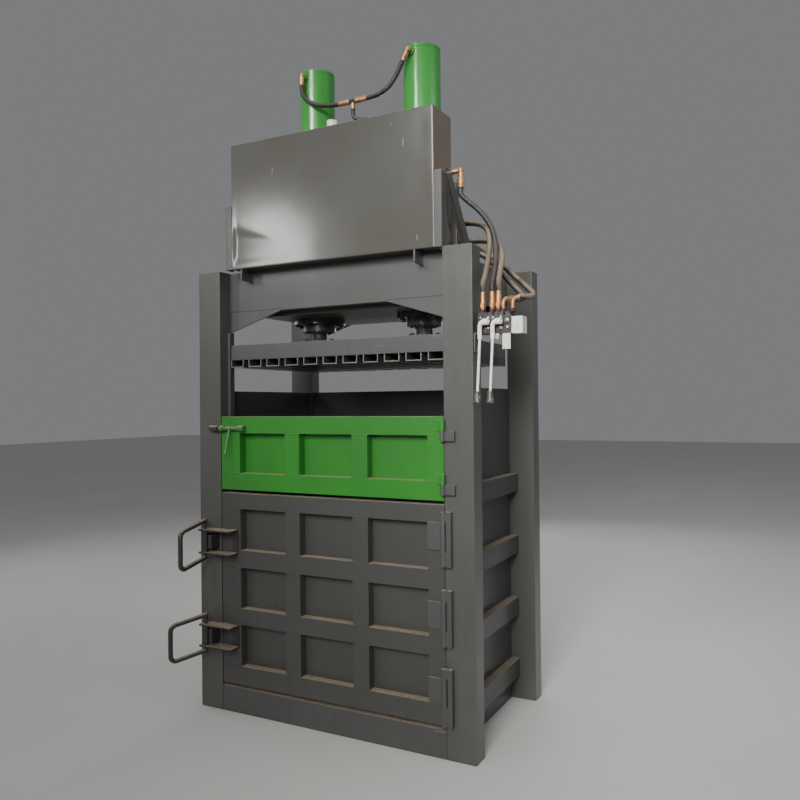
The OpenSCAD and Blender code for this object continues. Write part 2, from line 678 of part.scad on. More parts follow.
module drive_base() {
    low = frame_height;
    color([0.27, 0.28, 0.26]) placed() {
        block([cylinder_left_x + cross_offset, motor_front - 80, low], [cylinder_right_x - cross_offset, motor_front + 370, low + 10]);
        for (y = [motor_front + 40, motor_front + 240]) for (x = [motor_x - 90, motor_x + 60]) block([x, y, low + 10], [x + 30, y + 40, low + 40]);
    }
}
module motor() {
    axis = pump_axis;
    back = motor_front + motor_length;
    color([0.20, 0.30, 0.42]) placed() {
        difference() {
            union() {
                rod_y(motor_x, motor_front, back, axis, motor_diameter - 16);
                for (k = [0:8]) rod_y(motor_x, motor_front + 20 + k * 32, motor_front + 28 + k * 32, axis, motor_diameter);
                rod_y(motor_x, back, back + 60, axis, motor_diameter - 4);
                rod_y(motor_x, motor_front - 14, motor_front, axis, motor_diameter - 30);
                block([motor_x - 55, motor_front + 110, axis + 95], [motor_x + 55, motor_front + 220, axis + 165]);
                for (y = [motor_front + 40, motor_front + 240]) for (x = [motor_x - 90, motor_x + 60])
                    block([x, y, frame_height + 40], [x + 30, y + 40, axis - 60]);
            }
            for (a = [0:45:315]) rod_y(motor_x + 70 * cos(a), back + 45, back + 61, axis + 70 * sin(a), 22);
        }
    }
}
module pump() {
    axis = pump_axis;
    face = motor_front - 14;
    color([0.50, 0.51, 0.50]) placed() {
        rod_y(motor_x, face - 20, face, axis, 130);
        block([motor_x - 50, face - 126, axis - 55], [motor_x + 50, face - 20, axis + 55]);
        rod_y(motor_x, face - 134, face - 126, axis, 80);
        rod_x(motor_x + 50, motor_x + 65, pump_out[1], pump_out[2], 40);
        rod_x(motor_x + 50, motor_x + 65, pump_back[1], pump_back[2], 40);
        rod_z(pump_top[0], pump_top[1], axis + 55, axis + 70, 40);
    }
}

module valve_bracket() {
    color([0.30, 0.31, 0.29]) placed() {
        block([frame_width, valve_front + lever_room, valve_bottom - 8], [valve_right, valve_front + valve_depth, valve_bottom]);
        block([frame_width, valve_front, valve_bottom - 90], [frame_width + 8, valve_front + valve_depth, valve_bottom - 8]);
    }
}
module valve_block() {
    cover = valve_top - 16;
    color([0.32, 0.32, 0.31]) placed() {
        difference() {
            union() {
                block([valve_left, valve_front + 4, valve_bottom], [valve_right, valve_front + valve_depth - 4, cover]);
                for (x = [riser_1, riser_1 + 23, riser_2, riser_3, elbow_1, elbow_2 - 16])
                    block([x - 11, valve_front + 8, cover], [x + 11, valve_front + valve_depth - 8, valve_top]);
            }
            for (x = [valve_left + 29, valve_left + 91]) block([x - 2, valve_front, valve_bottom + 12], [x + 2, valve_front + 10, valve_bottom + 66]);
        }
        for (x = [lever_1, lever_2]) rod_y(x + lever_side, lever_y + lever_barrel / 2 + clear, valve_front + 4, lever_z, 24);
    }
}
module valve_end_cap() {
    color([0.86, 0.85, 0.80]) placed() {
        block([valve_right, valve_front + 6, valve_bottom - 11], [valve_right + end_cap_length, valve_front + 66, valve_bottom + 65]);
        block([valve_right - 47, valve_front + 14, valve_bottom - 80], [valve_right - 9, valve_front + 18, valve_bottom - 8]);
        translate([valve_left + 85, valve_front + 24, valve_bottom - 36]) cylinder(d1 = 14, d2 = 30, h = 28);
    }
}
// a quarter bend in the upright plane, from straight up to the side
module bend(r, turn, start, d) {
    rotate([90, 0, 0]) rotate([0, 0, start]) rotate_extrude(angle = turn) translate([r, 0]) circle(d = d);
}
module elbow(x, turn, reach) {
    low = elbow_z - elbow_radius;
    translate([x, valve_mid_y, 0]) rotate([0, 0, turn]) {
        translate([elbow_radius, 0, low]) bend(elbow_radius, 90, 90, 20);
        translate([elbow_radius - 1, 0, elbow_z]) rotate([0, 90, 0]) cylinder(d = 19.4, h = 6);
        translate([elbow_radius + 4, 0, elbow_z]) rotate([0, 90, 0]) cylinder(d = 30, h = reach - elbow_radius - 4);
    }
    rod_z(x, valve_mid_y, valve_top + 16, low + 1, 19.4);
}
module valve_fittings() {
    color([0.72, 0.58, 0.36]) placed() {
        for (x = [riser_1, riser_2, riser_3]) {
            hex_z(x, valve_mid_y, valve_top, valve_top + 18, 26);
            rod_z(x, valve_mid_y, valve_top + 18, valve_top + 26, 20);
            hex_z(x, valve_mid_y, valve_top + 26, valve_top + 46, 25.5);
            rod_z(x, valve_mid_y, valve_top + 46, riser_top, 28);
        }
        for (x = [elbow_1, elbow_2]) hex_z(x, valve_mid_y, valve_top, valve_top + 16, 26);
        elbow(elbow_1, elbow_turn, 60);
        elbow(elbow_2, 0, 38);
    }
}

module hose_fittings() {
    color([0.72, 0.58, 0.36]) placed() {
        for (p = [left_port, right_port]) {
            bar(p - (1 - port_boss) * [port_x, port_y, 0], p, 30);
            translate(p) sphere(d = 34, $fn = 16);
        }
        bar(left_port, route_left[0], 30);
        bar(right_port, route_right[6], 30);
        bar(route_left[7], tee - [19, 0, 0], 32);
        bar(tee - [19, 0, 0], tee + [19, 0, 0], 26);
        bar(tee + [19, 0, 0], route_right[0], 32);
        bar(route_branch[0], tee, 24);
        rod_x(tank_right, tank_right + 20, tank_port_depth, tank_port_z, 44);
        rod_x(tank_right + 20, tank_right + 46, tank_port_depth, tank_port_z, 34);
        rod_x(tank_right + 46, tank_elbow[0], tank_port_depth, tank_port_z, 24);
        translate(tank_elbow) sphere(d = 30, $fn = 16);
        rod_z(tank_elbow[0], tank_elbow[1], tank_port_z - 40, tank_port_z, 24);
        rod_z(tank_elbow[0], tank_elbow[1], tank_port_z - 82, tank_port_z - 40, 34);
        rod_x(motor_x + 65, pump_out[0], pump_out[1], pump_out[2], 32);
        rod_x(motor_x + 65, pump_back[0], pump_back[1], pump_back[2], 32);
        rod_x(cylinder_right_x + low_boss, right_low_port[0], cylinder_y, low_port_z, 32);
        rod_y(cylinder_left_x, left_low_port[1], cylinder_y - low_boss, low_port_z, 32);
        rod_z(pump_top[0], pump_top[1], pump_axis + 70, pump_top[2], 32);
    }
}
module cylinder_hoses() {
    color([0.10, 0.10, 0.10]) placed() {
        hose(eased(route_left), hose_diameter);
        hose(eased(route_right), hose_diameter);
        hose(eased(route_branch), hose_diameter - 4);
    }
}
module tank_hose() { color([0.10, 0.10, 0.10]) placed() hose(eased(route_tank), hose_diameter); }
module supply_hose() { color([0.10, 0.10, 0.10]) placed() hose(eased(route_supply), hose_diameter); }
module return_hose() { color([0.10, 0.10, 0.10]) placed() hose(eased(route_return), hose_diameter); }
module work_hoses() {
    color([0.10, 0.10, 0.10]) placed() {
        hose(eased(route_work), hose_diameter);
        hose(eased(route_cross), hose_diameter);
    }
}

module hinge_knuckles() {
    color([0.26, 0.27, 0.25]) placed() {
        for (k = lower_knuckles) {
            for (r = [[k[0], k[2] - knuckle_gap], [k[3] + knuckle_gap, k[1]]]) {
                rod_z(hinge_x, -hinge_y, r[0], r[1], lower_barrel);
                block([chamber_right + 2, -hinge_y - 8, r[0] + 6], [chamber_right + 40, 0, r[1] - 6]);
            }
            rod_z(hinge_x, -hinge_y, k[0] + 10, k[1] - 10, lower_pin);
        }
        upper_fixed_knuckles();
    }
}
module upper_fixed_knuckles() {
    for (k = upper_knuckles) {
        low = min(k[0], k[1]);
        high = max(k[0], k[1]);
        mid = (low + high) / 2;
        rod_z(hinge_x, -hinge_y, low, mid - knuckle_gap, upper_barrel);
        rod_z(hinge_x, -hinge_y, mid - knuckle_gap, high, upper_pin);
        block([chamber_right + 2, -hinge_y, low + 2], [chamber_right + 60, -hinge_y + 10, mid - 2]);
        block([chamber_right + 13, -hinge_y + 10, low + 2], [chamber_right + 60, 0, mid - 2]);
    }
}
module leaf(left, low, high, barrel, pin) {
    difference() {
        union() {
            rod_z(hinge_x, -hinge_y, low, high, barrel);
            block([left, -leaf_thickness, low], [hinge_x - 8, 0, high]);
            block([hinge_x - 16, -hinge_y, low], [hinge_x - 8, -leaf_thickness, high]);
        }
        rod_z(hinge_x, -hinge_y, low - eps, high + eps, pin + 2 * slide_gap);
    }
}
module lower_hinge_leaves() {
    color([0.26, 0.27, 0.25]) placed() for (k = lower_knuckles) leaf(hinge_x - 88, k[2], k[3], lower_barrel, lower_pin);
}
module upper_hinge_leaves() {
    color([0.30, 0.55, 0.22]) placed() for (k = upper_knuckles) leaf(hinge_x - 44, (k[0] + k[1]) / 2, max(k[0], k[1]), upper_barrel, upper_pin);
}

function latch_mid(top, height) = top - height / 2;
module keeper(mid) {
    block([keeper_right, -66, mid - 36], [keeper_right + 10, 0, mid + 36]);
    block([keeper_left, -66, mid - 36], [keeper_right, -latch_y - cam_thickness / 2 - 3, mid + 36]);
}
module latch_keepers() {
    color([0.27, 0.28, 0.26]) placed() {
        keeper(latch_mid(upper_latch_top, upper_latch_height));
        keeper(latch_mid(lower_latch_top, lower_latch_height));
    }
}
module bolt_keeper() {
    color([0.29, 0.30, 0.28]) placed() difference() {
        union() {
            rod_x(column_width - 57, column_width - 1, -bolt_y, bolt_z, bolt_sleeve);
            block([column_width - 57, -bolt_y, bolt_z - 16], [column_width - 1, 0, bolt_z + 16]);
        }
        rod_x(column_width - 58, column_width, -bolt_y, bolt_z, bolt_diameter + 2);
    }
}

module platen_frame() {
    low = platen_bottom + strap_channel_height;
    back = platen_front + platen_depth;
    right = platen_left + platen_width;
    across = (platen_width - platen_rib) / 5;
    along = (platen_depth - platen_rib) / 2;
    color([0.28, 0.29, 0.27]) placed() {
        difference() {
            block([platen_left, platen_front, low], [right, back, platen_top]);
            for (i = [0:4]) for (j = [0:1]) {
                x0 = platen_left + platen_rib + i * across;
                y0 = platen_front + platen_rib + j * along;
                block([x0, y0, low + platen_plate], [x0 + across - platen_rib, y0 + along - platen_rib, platen_top - platen_cover]);
            }
        }
        for (x = [cylinder_left_x, cylinder_right_x])
            block([x - 125, cylinder_y - 125, platen_top], [x + 125, cylinder_y + 125, platen_top + 12]);
    }
}
module platen_channels() {
    color([0.32, 0.32, 0.30]) placed() for (i = [0:strap_count - 1])
        strap_channel(strap_first + i * strap_pitch, platen_bottom, platen_front, platen_front + platen_depth, false);
}
module piston_rods() {
    low = platen_top + 12;
    color([0.78, 0.79, 0.80]) placed() for (x = [cylinder_left_x, cylinder_right_x]) {
        rod_z(x, cylinder_y, low, barrel_top - 120, rod_diameter);
        rod_z(x, cylinder_y, low, low + rod_flange, rod_flange_diameter);
        rod_z(x, cylinder_y, barrel_top - 120 - piston_length, barrel_top - 120, barrel_bore - 2 * slide_gap);
        for (a = [0:60:300]) hex_z(x + 82 * cos(a), cylinder_y + 82 * sin(a), low + rod_flange, low + rod_flange + 12, 24);
    }
}

module channel_rail(low, high) {
    difference() {
        block([door_left, 0, low], [door_left + door_width, door_depth, high]);
        block([door_left + door_wall, door_wall, low + door_wall], [door_left + door_width - door_wall, door_depth + eps, high - door_wall]);
    }
}
module door_stiles(low, high) {
    for (s = [[door_left, stile_left], [inner_stile_1, stile_inner], [inner_stile_2, stile_inner], [door_left + door_width - stile_right, stile_right]])
        difference() {
            block([s[0], 0, low], [s[0] + s[1], door_depth, high]);
            block([s[0] + door_wall, door_wall, low - eps], [s[0] + s[1] - door_wall, door_depth + eps, high + eps]);
        }
}
module lower_door_rails() {
    color([0.28, 0.29, 0.27]) placed() for (r = lower_rails) channel_rail(r[0], r[1]);
}
module lower_door_stiles() {
    color([0.28, 0.29, 0.27]) placed() for (i = [0:2]) door_stiles(lower_rails[i][1], lower_rails[i + 1][0]);
}
module lower_door_skin() {
    color([0.26, 0.27, 0.25]) placed() block([door_left, door_depth, lower_door_bottom], [door_left + door_width, door_depth + door_skin, lower_door_top]);
}
module upper_door_lattice() {
    color([0.26, 0.58, 0.20]) placed() {
        for (r = upper_rails) channel_rail(r[0], r[1]);
        door_stiles(upper_rails[0][1], upper_rails[1][0]);
    }
}
module upper_door_skin() {
    color([0.24, 0.54, 0.19]) placed() block([door_left, door_depth, upper_door_bottom], [door_left + door_width, door_depth + door_skin, upper_door_top]);
}
module latch_bracket(top, height) {
    for (z = [top - latch_plate, top - height]) difference() {
        union() {
            block([door_left, -latch_plate_depth, z], [latch_plate_right, 0, z + latch_plate]);
            block([latch_plate_left, -latch_plate_depth, z], [door_left, -2, z + latch_plate]);
        }
        rod_z(latch_x, -latch_y, z - eps, z + latch_plate + eps, cam_shaft + 2 * slide_gap);
    }
    block([latch_plate_right - 40, -8, top - height + latch_plate], [latch_plate_right, 0, top - latch_plate]);
}
module latch_brackets() {
    color([0.27, 0.28, 0.26]) placed() {
        latch_bracket(upper_latch_top, upper_latch_height);
        latch_bracket(lower_latch_top, lower_latch_height);
    }
}
// a cam shaft with a C handle: two drooping arms and a grip joined by round bends
module latch(top, height, facing) {
    low = top - height;
    rise = top + 45;
    drop = low - 24;
    fall = handle_reach * tan(handle_droop);
    arm = handle_reach / cos(handle_droop);
    cut_top = handle_bend_top * tan((90 - handle_droop) / 2);
    cut_low = handle_bend_low * tan((90 + handle_droop) / 2);
    bend_bar = handle_bar + 0.6;
    translate([latch_x, -latch_y, 0]) rotate([0, 0, facing]) {
        rod_z(0, 0, drop, rise, cam_shaft);
        rod_z(0, 0, low + latch_plate + 1, top - latch_plate - 1, cam_hub);
        block([-cam_reach, -cam_thickness / 2, low + height / 2 - 34], [0, cam_thickness / 2, low + height / 2 + 34]);
        for (end = [[rise, cut_top], [drop, cut_low]]) translate([0, 0, end[0]]) rotate([0, 90 + handle_droop, 0]) {
            cylinder(d = handle_bar, h = arm - end[1] + 1);
            sphere(d = handle_bar + 1.5, $fn = 24);
        }
        translate([handle_reach, 0, drop - fall + cut_low - 1]) cylinder(d = handle_bar, h = rise - drop - cut_top - cut_low + 2);
        translate([handle_reach - handle_bend_top, 0, rise - fall - cut_top]) bend(handle_bend_top, 90 - handle_droop, 0, bend_bar);
        translate([handle_reach - handle_bend_low, 0, drop - fall + cut_low])
            bend(handle_bend_low, 90 + handle_droop, -90 - handle_droop, bend_bar);
    }
}
module upper_latch() { color([0.30, 0.31, 0.29]) placed() latch(upper_latch_top, upper_latch_height, upper_latch_rest); }
module lower_latch() { color([0.30, 0.31, 0.29]) placed() latch(lower_latch_top, lower_latch_height, lower_latch_rest); }
module bolt_sleeves() {
    color([0.30, 0.55, 0.22]) placed() difference() {
        union() for (r = [[door_left + 4, door_left + 30], [door_left + 129, door_left + 169]]) {
            rod_x(r[0], r[1], -bolt_y, bolt_z, bolt_sleeve);
            block([r[0], -bolt_y, bolt_z - 16], [r[1], 0, bolt_z + 16]);
        }
        rod_x(door_left + 3, door_left + 170, -bolt_y, bolt_z, bolt_diameter + 2 * slide_gap);
    }
}
module slide_bolt() {
    color([0.40, 0.41, 0.38]) placed() {
        rod_x(bolt_end, bolt_end + bolt_length, -bolt_y, bolt_z, bolt_diameter);
        handle_x = door_left + 71;
        bar([handle_x, -bolt_y, bolt_z], [handle_x, -bolt_y - 36, bolt_z - bolt_handle_length], bolt_handle);
        translate([handle_x, -bolt_y - 36, bolt_z - bolt_handle_length]) sphere(d = bolt_handle + 3, $fn = 16);
    }
}
// a hanging lever: pivot barrel with its pin, goose neck in a sleeve, rod and grip
module lever(x) {
    foot = [x - 15, lever_y, lever_z - 10 - lever_length];
    pivot_x = x + lever_side;
    neck = lever_z + 4;
    rod_x(pivot_x - 13, pivot_x + 13, lever_y, lever_z, lever_barrel);
    rod_x(pivot_x - 17, pivot_x + 17, lever_y, lever_z, 12);
    translate([x + lever_bend, lever_y, neck - lever_bend]) bend(lever_bend, 90, 90, lever_sleeve);
    rod_z(x, lever_y, lever_z - 78, neck - lever_bend + 1, lever_sleeve - 0.8);
    bar([x, lever_y, lever_z - 70], foot, lever_rod);
    rod_z(x - 15, lever_y, foot[2] - 30, foot[2] + 20, 24);
}
module valve_lever_1() { color([0.86, 0.85, 0.82]) placed() lever(lever_1); }
module valve_lever_2() { color([0.86, 0.85, 0.82]) placed() lever(lever_2); }

front_column_left();
front_column_right();
rear_column_left();
rear_column_right();
base_front_beam();
base_rear_beam();
base_bearers();
chamber_floor();
floor_channels();
side_wall_left();
side_wall_right();
side_ribs_left();
side_ribs_right();
rear_wall();
rear_ribs();
door_stops();
front_top_beam();
rear_top_beam();
cross_beams();
cylinder_mount_plate();
cylinder_left();
cylinder_right();
glands();
oil_tank();
tank_posts();
tank_braces();
filler_breather();
motor();
pump();
drive_base();
valve_bracket();
valve_block();
valve_end_cap();
valve_fittings();
hose_fittings();
cylinder_hoses();
tank_hose();
supply_hose();
return_hose();
work_hoses();
hinge_knuckles();
latch_keepers();
bolt_keeper();
platen_frame();
platen_channels();
piston_rods();
lower_door_skin();
lower_door_rails();
lower_door_stiles();
lower_hinge_leaves();
latch_brackets();
upper_door_skin();
upper_door_lattice();
upper_hinge_leaves();
bolt_sleeves();
upper_latch();
lower_latch();
slide_bolt();
valve_lever_1();
valve_lever_2();
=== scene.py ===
"""Looks of the recycling baler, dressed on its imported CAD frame.

Lengths that go through place(), and the radii, widths and depths beside them, are millimetres from the left
front floor corner, as in the part's source. Everything else is metres in the shared frame.
"""

import logging
import math
from dataclasses import dataclass, field
from enum import Enum
from typing import Any, Callable, Sequence

import bmesh
import bpy
from mathutils import Matrix, Vector, noise


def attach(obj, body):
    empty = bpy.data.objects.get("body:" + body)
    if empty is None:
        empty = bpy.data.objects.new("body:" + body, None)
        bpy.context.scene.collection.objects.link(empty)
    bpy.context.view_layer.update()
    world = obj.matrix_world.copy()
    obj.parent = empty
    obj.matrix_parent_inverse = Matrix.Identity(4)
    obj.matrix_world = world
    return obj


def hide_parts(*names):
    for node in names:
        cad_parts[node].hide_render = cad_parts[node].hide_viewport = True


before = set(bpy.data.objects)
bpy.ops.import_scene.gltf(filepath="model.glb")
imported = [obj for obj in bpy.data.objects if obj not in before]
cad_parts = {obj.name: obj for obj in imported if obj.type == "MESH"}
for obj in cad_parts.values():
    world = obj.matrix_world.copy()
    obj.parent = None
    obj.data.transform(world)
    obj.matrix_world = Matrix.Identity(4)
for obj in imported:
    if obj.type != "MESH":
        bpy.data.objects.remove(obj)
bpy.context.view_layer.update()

LOG = logging.getLogger("baler")
HALF_WIDTH = 825.0
HALF_DEPTH = 487.5
METRE = 1000
PAINT_EDGE = 0.0005
TOUCHING = 0.00002
FINENESS = 0.55
MIX_UNDER, MIX_OVER, MIX_RESULT = 6, 7, 2
DUST = (0.330, 0.262, 0.180)
Pair = tuple[float, float]
Colour = tuple[float, float, float]
Point = tuple[float, float, float]
Four = tuple[float, float, float, float]
Material = bpy.types.Material
Mesh = bmesh.types.BMesh
Vertex = bmesh.types.BMVert


def place(x: float, y: float, z: float) -> Vector:
    """Turns millimetres from the left front floor corner into metres in the shared frame."""
    return Vector(((x - HALF_WIDTH) / METRE, (y - HALF_DEPTH) / METRE, z / METRE))


class Body(Enum):
    """The bodies that pieces ride on."""

    FRAME = "frame"
    LOWER_DOOR = "lower_door"
    UPPER_DOOR = "upper_door"
    LEVER_1 = "valve_lever_1"
    LEVER_2 = "valve_lever_2"


class Value:
    """A shader socket that joins in Python arithmetic."""

    def __init__(self, shade: "Shade", socket: bpy.types.NodeSocket) -> None:
        """Keeps the socket and the material that it belongs to."""
        self.shade = shade
        self.socket = socket

    def _math(self, operation: str, *operands: Any, clamp: bool = False) -> "Value":
        """Adds one Math node.

        Args:
            operation: the Math node's operation.
            operands: its inputs in order.
            clamp: whether the result stays between 0 and 1.

        Returns:
            The node's result.
        """
        settings = {"operation": operation, "use_clamp": clamp}
        return self.shade.value("ShaderNodeMath", settings, dict(enumerate(operands)))

    def __add__(self, other: Any) -> "Value":
        """Adds."""
        return self._math("ADD", self, other)

    def __radd__(self, other: Any) -> "Value":
        """Adds from the right."""
        return self._math("ADD", other, self)

    def __sub__(self, other: Any) -> "Value":
        """Subtracts."""
        return self._math("SUBTRACT", self, other)

    def __rsub__(self, other: Any) -> "Value":
        """Subtracts this from another value."""
        return self._math("SUBTRACT", other, self)

    def __mul__(self, other: Any) -> "Value":
        """Multiplies."""
        return self._math("MULTIPLY", self, other)

    def __or__(self, other: Any) -> "Value":
        """Takes the larger of two masks."""
        return self._math("MAXIMUM", self, other)

    def size(self) -> "Value":
        """Drops the sign."""
        return self._math("ABSOLUTE", self)

    def clamped(self) -> "Value":
        """Keeps the value between 0 and 1."""
        return self._math("ADD", self, 0.0, clamp=True)

    def ramp(self, low: float, high: float) -> "Value":
        """Turns the stretch from low to high into a smooth mask.

        Args:
            low: the value that gives 0.
            high: the value that gives 1.

        Returns:
            The mask.
        """
        sockets = {"Value": self, "From Min": low, "From Max": high}
        return self.shade.value("ShaderNodeMapRange", {"interpolation_type": "SMOOTHSTEP"}, sockets)


class Shade:
    """One material and the ways to add nodes to it."""

    def __init__(self, name: str) -> None:
        """Starts an empty material of that name."""
        self.material = bpy.data.materials.new(name)
        self.material.use_nodes = True
        self.tree = self.material.node_tree
        self.tree.nodes.clear()

    def node(self, kind: str, settings: dict[str, Any], sockets: dict[Any, Any]) -> bpy.types.Node:
        """Adds a node.

        Args:
            kind: the node's type.
            settings: its properties, set first.
            sockets: values or links for its inputs, by name or index.

        Returns:
            The new node.
        """
        made = self.tree.nodes.new(kind)
        for name, setting in settings.items():
            setattr(made, name, setting)
        for key, given in sockets.items():
            if isinstance(given, Value):
                self.tree.links.new(given.socket, made.inputs[key])
            else:
                made.inputs[key].default_value = given
        return made

    def value(self, kind: str, settings: dict[str, Any], sockets: dict[Any, Any], output: Any = 0) -> Value:
        """Adds a node and wraps one of its outputs.

        Args:
            kind: the node's type.
            settings: its properties.
            sockets: values or links for its inputs.
            output: the name or index of the output.

        Returns:
            The output as a value.
        """
        return Value(self, self.node(kind, settings, sockets).outputs[output])

    def spot(self) -> Value:
        """Gives the place on the machine at rest, in metres."""
        return self.value("ShaderNodeTexCoord", {}, {}, "Object")

    def facing(self, axis: str) -> Value:
        """Gives how far the surface faces along an axis of the machine.

        Args:
            axis: "X", "Y" or "Z".

        Returns:
            The normal's share along that axis.
        """
        normal = self.value("ShaderNodeTexCoord", {}, {}, "Normal")
        return self.value("ShaderNodeSeparateXYZ", {}, {0: normal}, axis)

    def across(self) -> Value:
        """Gives the place across the machine, in metres."""
        return self.value("ShaderNodeSeparateXYZ", {}, {0: self.spot()}, "X")

    def height(self) -> Value:
        """Gives the height above the floor, in metres."""
        return self.value("ShaderNodeSeparateXYZ", {}, {0: self.spot()}, "Z")

    @staticmethod
    def within(place_value: Value, low: float, high: float) -> Value:
        """Masks the stretch between two places, with edges 1 mm wide."""
        rise = place_value.ramp(low - PAINT_EDGE, low + PAINT_EDGE)
        fall = place_value.ramp(high - PAINT_EDGE, high + PAINT_EDGE)
        return rise * (1.0 - fall)

    def stretched(self, scale: Point) -> Value:
        """Scales the place unevenly, for streaks and brush lines.

        Args:
            scale: the factor along each axis.

        Returns:
            The scaled place.
        """
        settings = {"operation": "MULTIPLY"}
        return self.value("ShaderNodeVectorMath", settings, {0: self.spot(), 1: scale})

    def cloud(self, scale: float, detail: float, spot: Value | None = None) -> Value:
        """Adds soft noise.

        Args:
            scale: patches per metre.
            detail: octaves.
            spot: the place to read, or None for the machine's own.

        Returns:
            The noise, about 0.5 on average.
        """
        sockets = {"Vector": spot or self.spot(), "Scale": scale, "Detail": detail, "Roughness": FINENESS}
        return self.value("ShaderNodeTexNoise", {}, sockets, "Fac")

    def blend(self, under: Any, over: Any, mask: Value) -> Value:
        """Lays one colour over another.

        Args:
            under: the colour where the mask is 0.
            over: the colour where the mask is 1.
            mask: the cover.

        Returns:
            The mixed colour.
        """
        mixed = {"Factor": mask, MIX_UNDER: self.paint(under), MIX_OVER: self.paint(over)}
        return self.value("ShaderNodeMix", {"data_type": "RGBA"}, mixed, MIX_RESULT)

    @staticmethod
    def paint(colour: Any) -> Any:
        """Adds alpha to a plain colour and leaves a link as it is."""
        return colour if isinstance(colour, Value) else (*colour, 1.0)

    def relief(self, height: Value, depth: float, under: Value | None = None) -> Value:
        """Raises the surface by a height map.

        Args:
            height: the map, 0 to 1.
            depth: metres between 0 and 1.
            under: a normal to build on.

        Returns:
            The bumped normal.
        """
        sockets = {"Height": height, "Distance": depth}
        if under is not None:
            sockets["Normal"] = under
        return self.value("ShaderNodeBump", {}, sockets, "Normal")

    def surface(self, sockets: dict[str, Any]) -> Material:
        """Closes the material with one Principled shader.

        Args:
            sockets: values or links by the shader's input names.

        Returns:
            The material.
        """
        shader = self.value("ShaderNodeBsdfPrincipled", {}, sockets)
        self.node("ShaderNodeOutputMaterial", {}, {"Surface": shader})
        return self.material


@dataclass(frozen=True)
class SprayedSteel:
    """Workshop spray paint on rolled steel, with dust where it settles."""

    name: str
    colour: Colour
    shade: Colour
    gloss: float = 0.34
    ledge_dust: float = 0.85
    film: float = 0.25
    streaks: float = 0.35
    chips: float = 0.5
    wave: float = 0.0015
    tooth: float = 0.0006
    bare: Colour = (0.20, 0.19, 0.18)
    primer: Colour | None = None
    primer_top: float = 2.196
    cut_ends: Colour | None = None
    # A colour on faces that turn to +X: a painted reflection.
    end_reflection: Colour | None = None
    scratches: tuple[Point, ...] = ()
    patch_scale: float = 2.2
    fine_scale: float = 38
    grain_scale: float = 420
    speck_scale: float = 75
    wave_scale: float = 3.1
    run_stretch: Point = (16, 16, 1.3)
    rub_stretch: Point = (5, 5, 60)
    streak_tone: float = 0.55
    foot_height: float = 0.5
    primer_blur: float = 0.002
    scratch_lean: float = 0.06
    lacquer: float = 0.25
    lacquer_rough: float = 0.22

    def material(self) -> Material:
        """Builds the paint, its flow marks, chips, streaks and dust."""
        nodes = Shade(self.name)
        up = nodes.facing("Z").ramp(0.35, 0.9)
        patches = nodes.cloud(self.patch_scale, 4)
        fine = nodes.cloud(self.fine_scale, 5)
        runs = nodes.cloud(1.0, 5, nodes.stretched(self.run_stretch))
        rubs = nodes.cloud(1.0, 4, nodes.stretched(self.rub_stretch))
        grain = nodes.cloud(self.grain_scale, 2)
        coat = nodes.blend(self.colour, self.shade, patches.ramp(0.34, 0.68))
        if self.primer is not None:
            low, high = self.primer_top - self.primer_blur, self.primer_top + self.primer_blur
            coat = nodes.blend(coat, self.primer, 1.0 - nodes.height().ramp(low, high))
        if self.cut_ends is not None:
            sawn = (0.0 - nodes.facing("Y")).ramp(0.85, 0.95) * fine.ramp(0.15, 0.4)
            coat = nodes.blend(coat, self.cut_ends, sawn)
        # A warm brown on faces that turn to +X: a painted reflection of a warm wall.
        if self.end_reflection is not None:
            cover = nodes.facing("X").ramp(0.8, 0.95) * patches.ramp(0.1, 0.6) * 0.8
            coat = nodes.blend(coat, self.end_reflection, cover)
        stain = runs.ramp(0.52, 0.78) * self.streaks
        coat = nodes.blend(coat, [share * self.streak_tone for share in self.colour], stain)
        scratch = rubs.ramp(0.70, 0.74) * fine.ramp(0.45, 0.62) * self.chips
        speck = nodes.cloud(self.speck_scale, 3).ramp(0.715, 0.735) * self.chips
        worn = (scratch | speck).clamped()
        for x, z, half in self.scratches:
            worn = worn | self.scratched(nodes, x, z, half) * 0.8
        coat = nodes.blend(coat, self.bare, worn)
        settled = up * (fine.ramp(0.25, 0.6) * 0.45 + 0.55) * self.ledge_dust
        low_down = 1.0 - nodes.height().ramp(0.0, self.foot_height)
        foot = low_down * fine.ramp(0.35, 0.8) * (self.film * 0.22)
        haze = patches.ramp(0.45, 0.8) * fine.ramp(0.2, 0.9) * (self.film * 0.3)
        dust = (settled | haze | foot).clamped()
        colour = nodes.blend(coat, DUST, dust)
        rough = (self.gloss + patches * 0.14 + dust * 0.5 + worn * 0.1).clamped()
        bump = nodes.relief(grain * 0.3 + fine * 0.2 + dust * fine, self.tooth)
        bump = nodes.relief(nodes.cloud(self.wave_scale, 2), self.wave * 4, bump)
        lacquer = {"Coat Weight": (1.0 - dust) * self.lacquer, "Coat Roughness": self.lacquer_rough}
        return nodes.surface({"Base Color": colour, "Roughness": rough, **lacquer, "Normal": bump})

    def scratched(self, nodes: Shade, x: float, z: float, half: float) -> Value:
        """Masks one upright scratch on the front.

        Args:
            nodes: the material that it is in.
            x: its place across the machine, in metres.
            z: the height of its middle.
            half: half its length.

        Returns:
            The mask.
        """
        lean = nodes.height() * self.scratch_lean - z * self.scratch_lean
        line = 1.0 - (nodes.across() - x - lean).size().ramp(0.0006, 0.0024)
        return line * (1.0 - (nodes.height() - z).size().ramp(half * 0.5, half))


